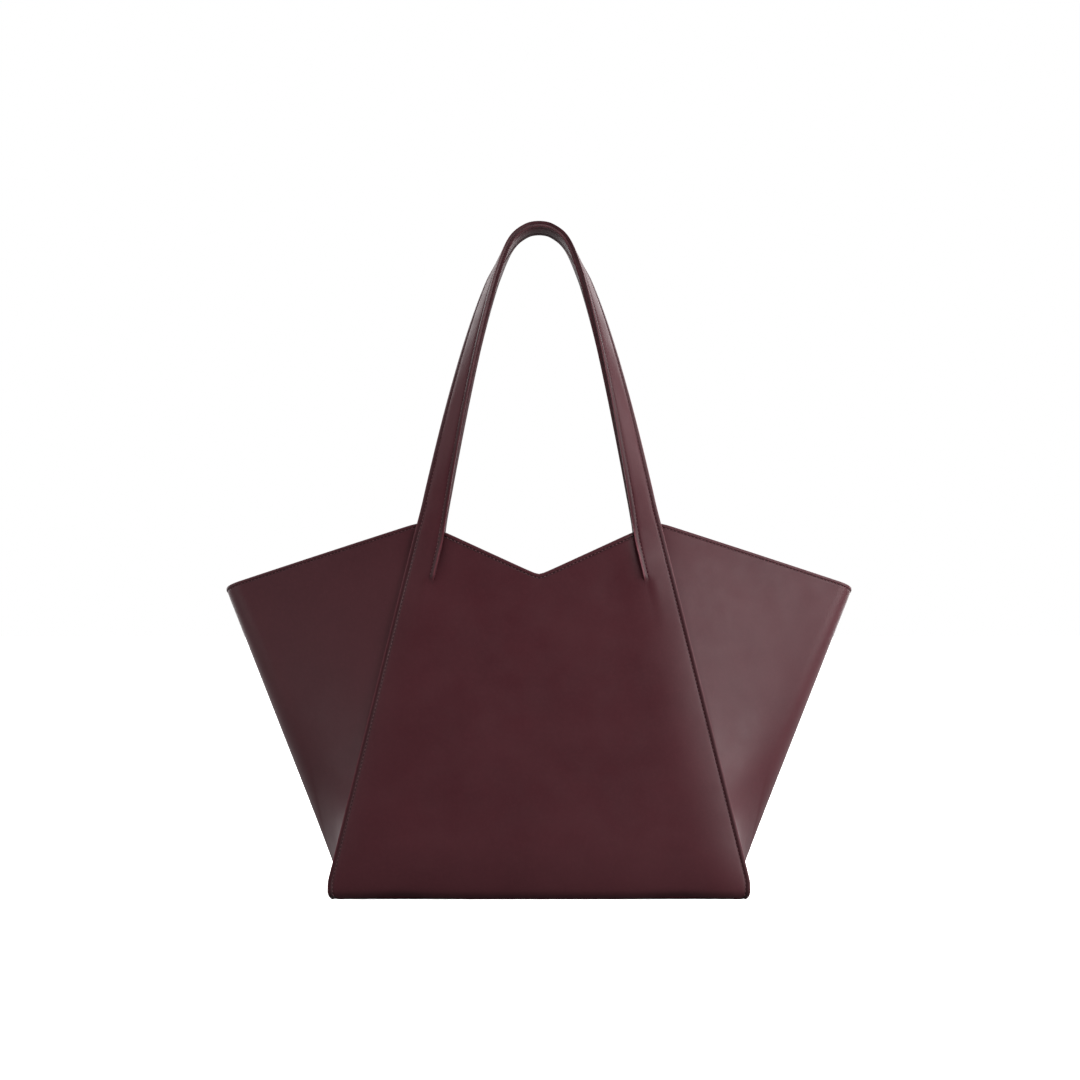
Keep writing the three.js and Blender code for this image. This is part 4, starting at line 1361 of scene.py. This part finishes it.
def make_light(name, place, target, size, power):
    data = bpy.data.lights.new(name, "AREA")
    data.shape = "RECTANGLE"
    data.size, data.size_y = size
    data.energy = power
    light = add_object(name, data)
    light.visible_camera = False
    light.location = place
    direction = Vector(target) - Vector(place)
    light.rotation_euler = direction.to_track_quat("-Z", "Y").to_euler()


def make_sun():
    """A wide overhead light, which is even over the whole floor."""
    data = bpy.data.lights.new("overhead", "SUN")
    data.energy = SUN_STRENGTH
    data.angle = SUN_ANGLE
    add_object("overhead", data)


def make_world():
    """White behind the object, and a dim studio all round for the light and the reflections."""
    world = bpy.data.worlds.new("studio")
    bpy.context.scene.world = world
    world.use_nodes = True
    nodes, links = world.node_tree.nodes, world.node_tree.links
    nodes.clear()
    path = nodes.new("ShaderNodeLightPath")
    mix = nodes.new("ShaderNodeMixShader")
    output = nodes.new("ShaderNodeOutputWorld")
    links.new(path.outputs["Is Camera Ray"], mix.inputs["Fac"])
    for socket, strength in ((1, STUDIO_DIM), (2, 1.0)):
        sky = nodes.new("ShaderNodeBackground")
        fill(sky, {"Color": (1, 1, 1, 1), "Strength": strength})
        links.new(sky.outputs["Background"], mix.inputs[socket])
    links.new(mix.outputs["Shader"], output.inputs["Surface"])


def make_camera():
    data = bpy.data.cameras.new("camera")
    data.sensor_width = SENSOR_WIDTH
    data.lens = CAMERA_LENS
    camera = add_object("camera", data)
    camera.location = CAMERA_PLACE
    camera.rotation_euler = (math.pi / 2 + CAMERA_PITCH, 0, 0)
    bpy.context.scene.camera = camera


make_floor()
make_world()
make_camera()
make_light("key", (0.85, -0.25, 0.35), (0.05, 0, 0.2), (0.5, 0.9), 11)
make_light("sheen_right", (1.1, -1.35, 0.4), (0, 0, 0.2), (0.7, 1.0), 17)
make_light("fill", (-0.85, -0.25, 0.35), (-0.05, 0, 0.2), (0.5, 0.9), 2.8)
make_light("sheen_left", (-1.1, -1.35, 0.4), (0, 0, 0.2), (0.7, 1.0), 1.8)
make_light("back_right", (1.1, 1.1, 0.5), (0, 0, 0.25), (1.2, 1.6), 24)
make_light("back_left", (-1.1, 1.1, 0.5), (0, 0, 0.25), (1.2, 1.6), 20)
make_sun()
bpy.context.scene.view_settings.view_transform = "Standard"
bpy.context.scene.view_settings.look = "None"
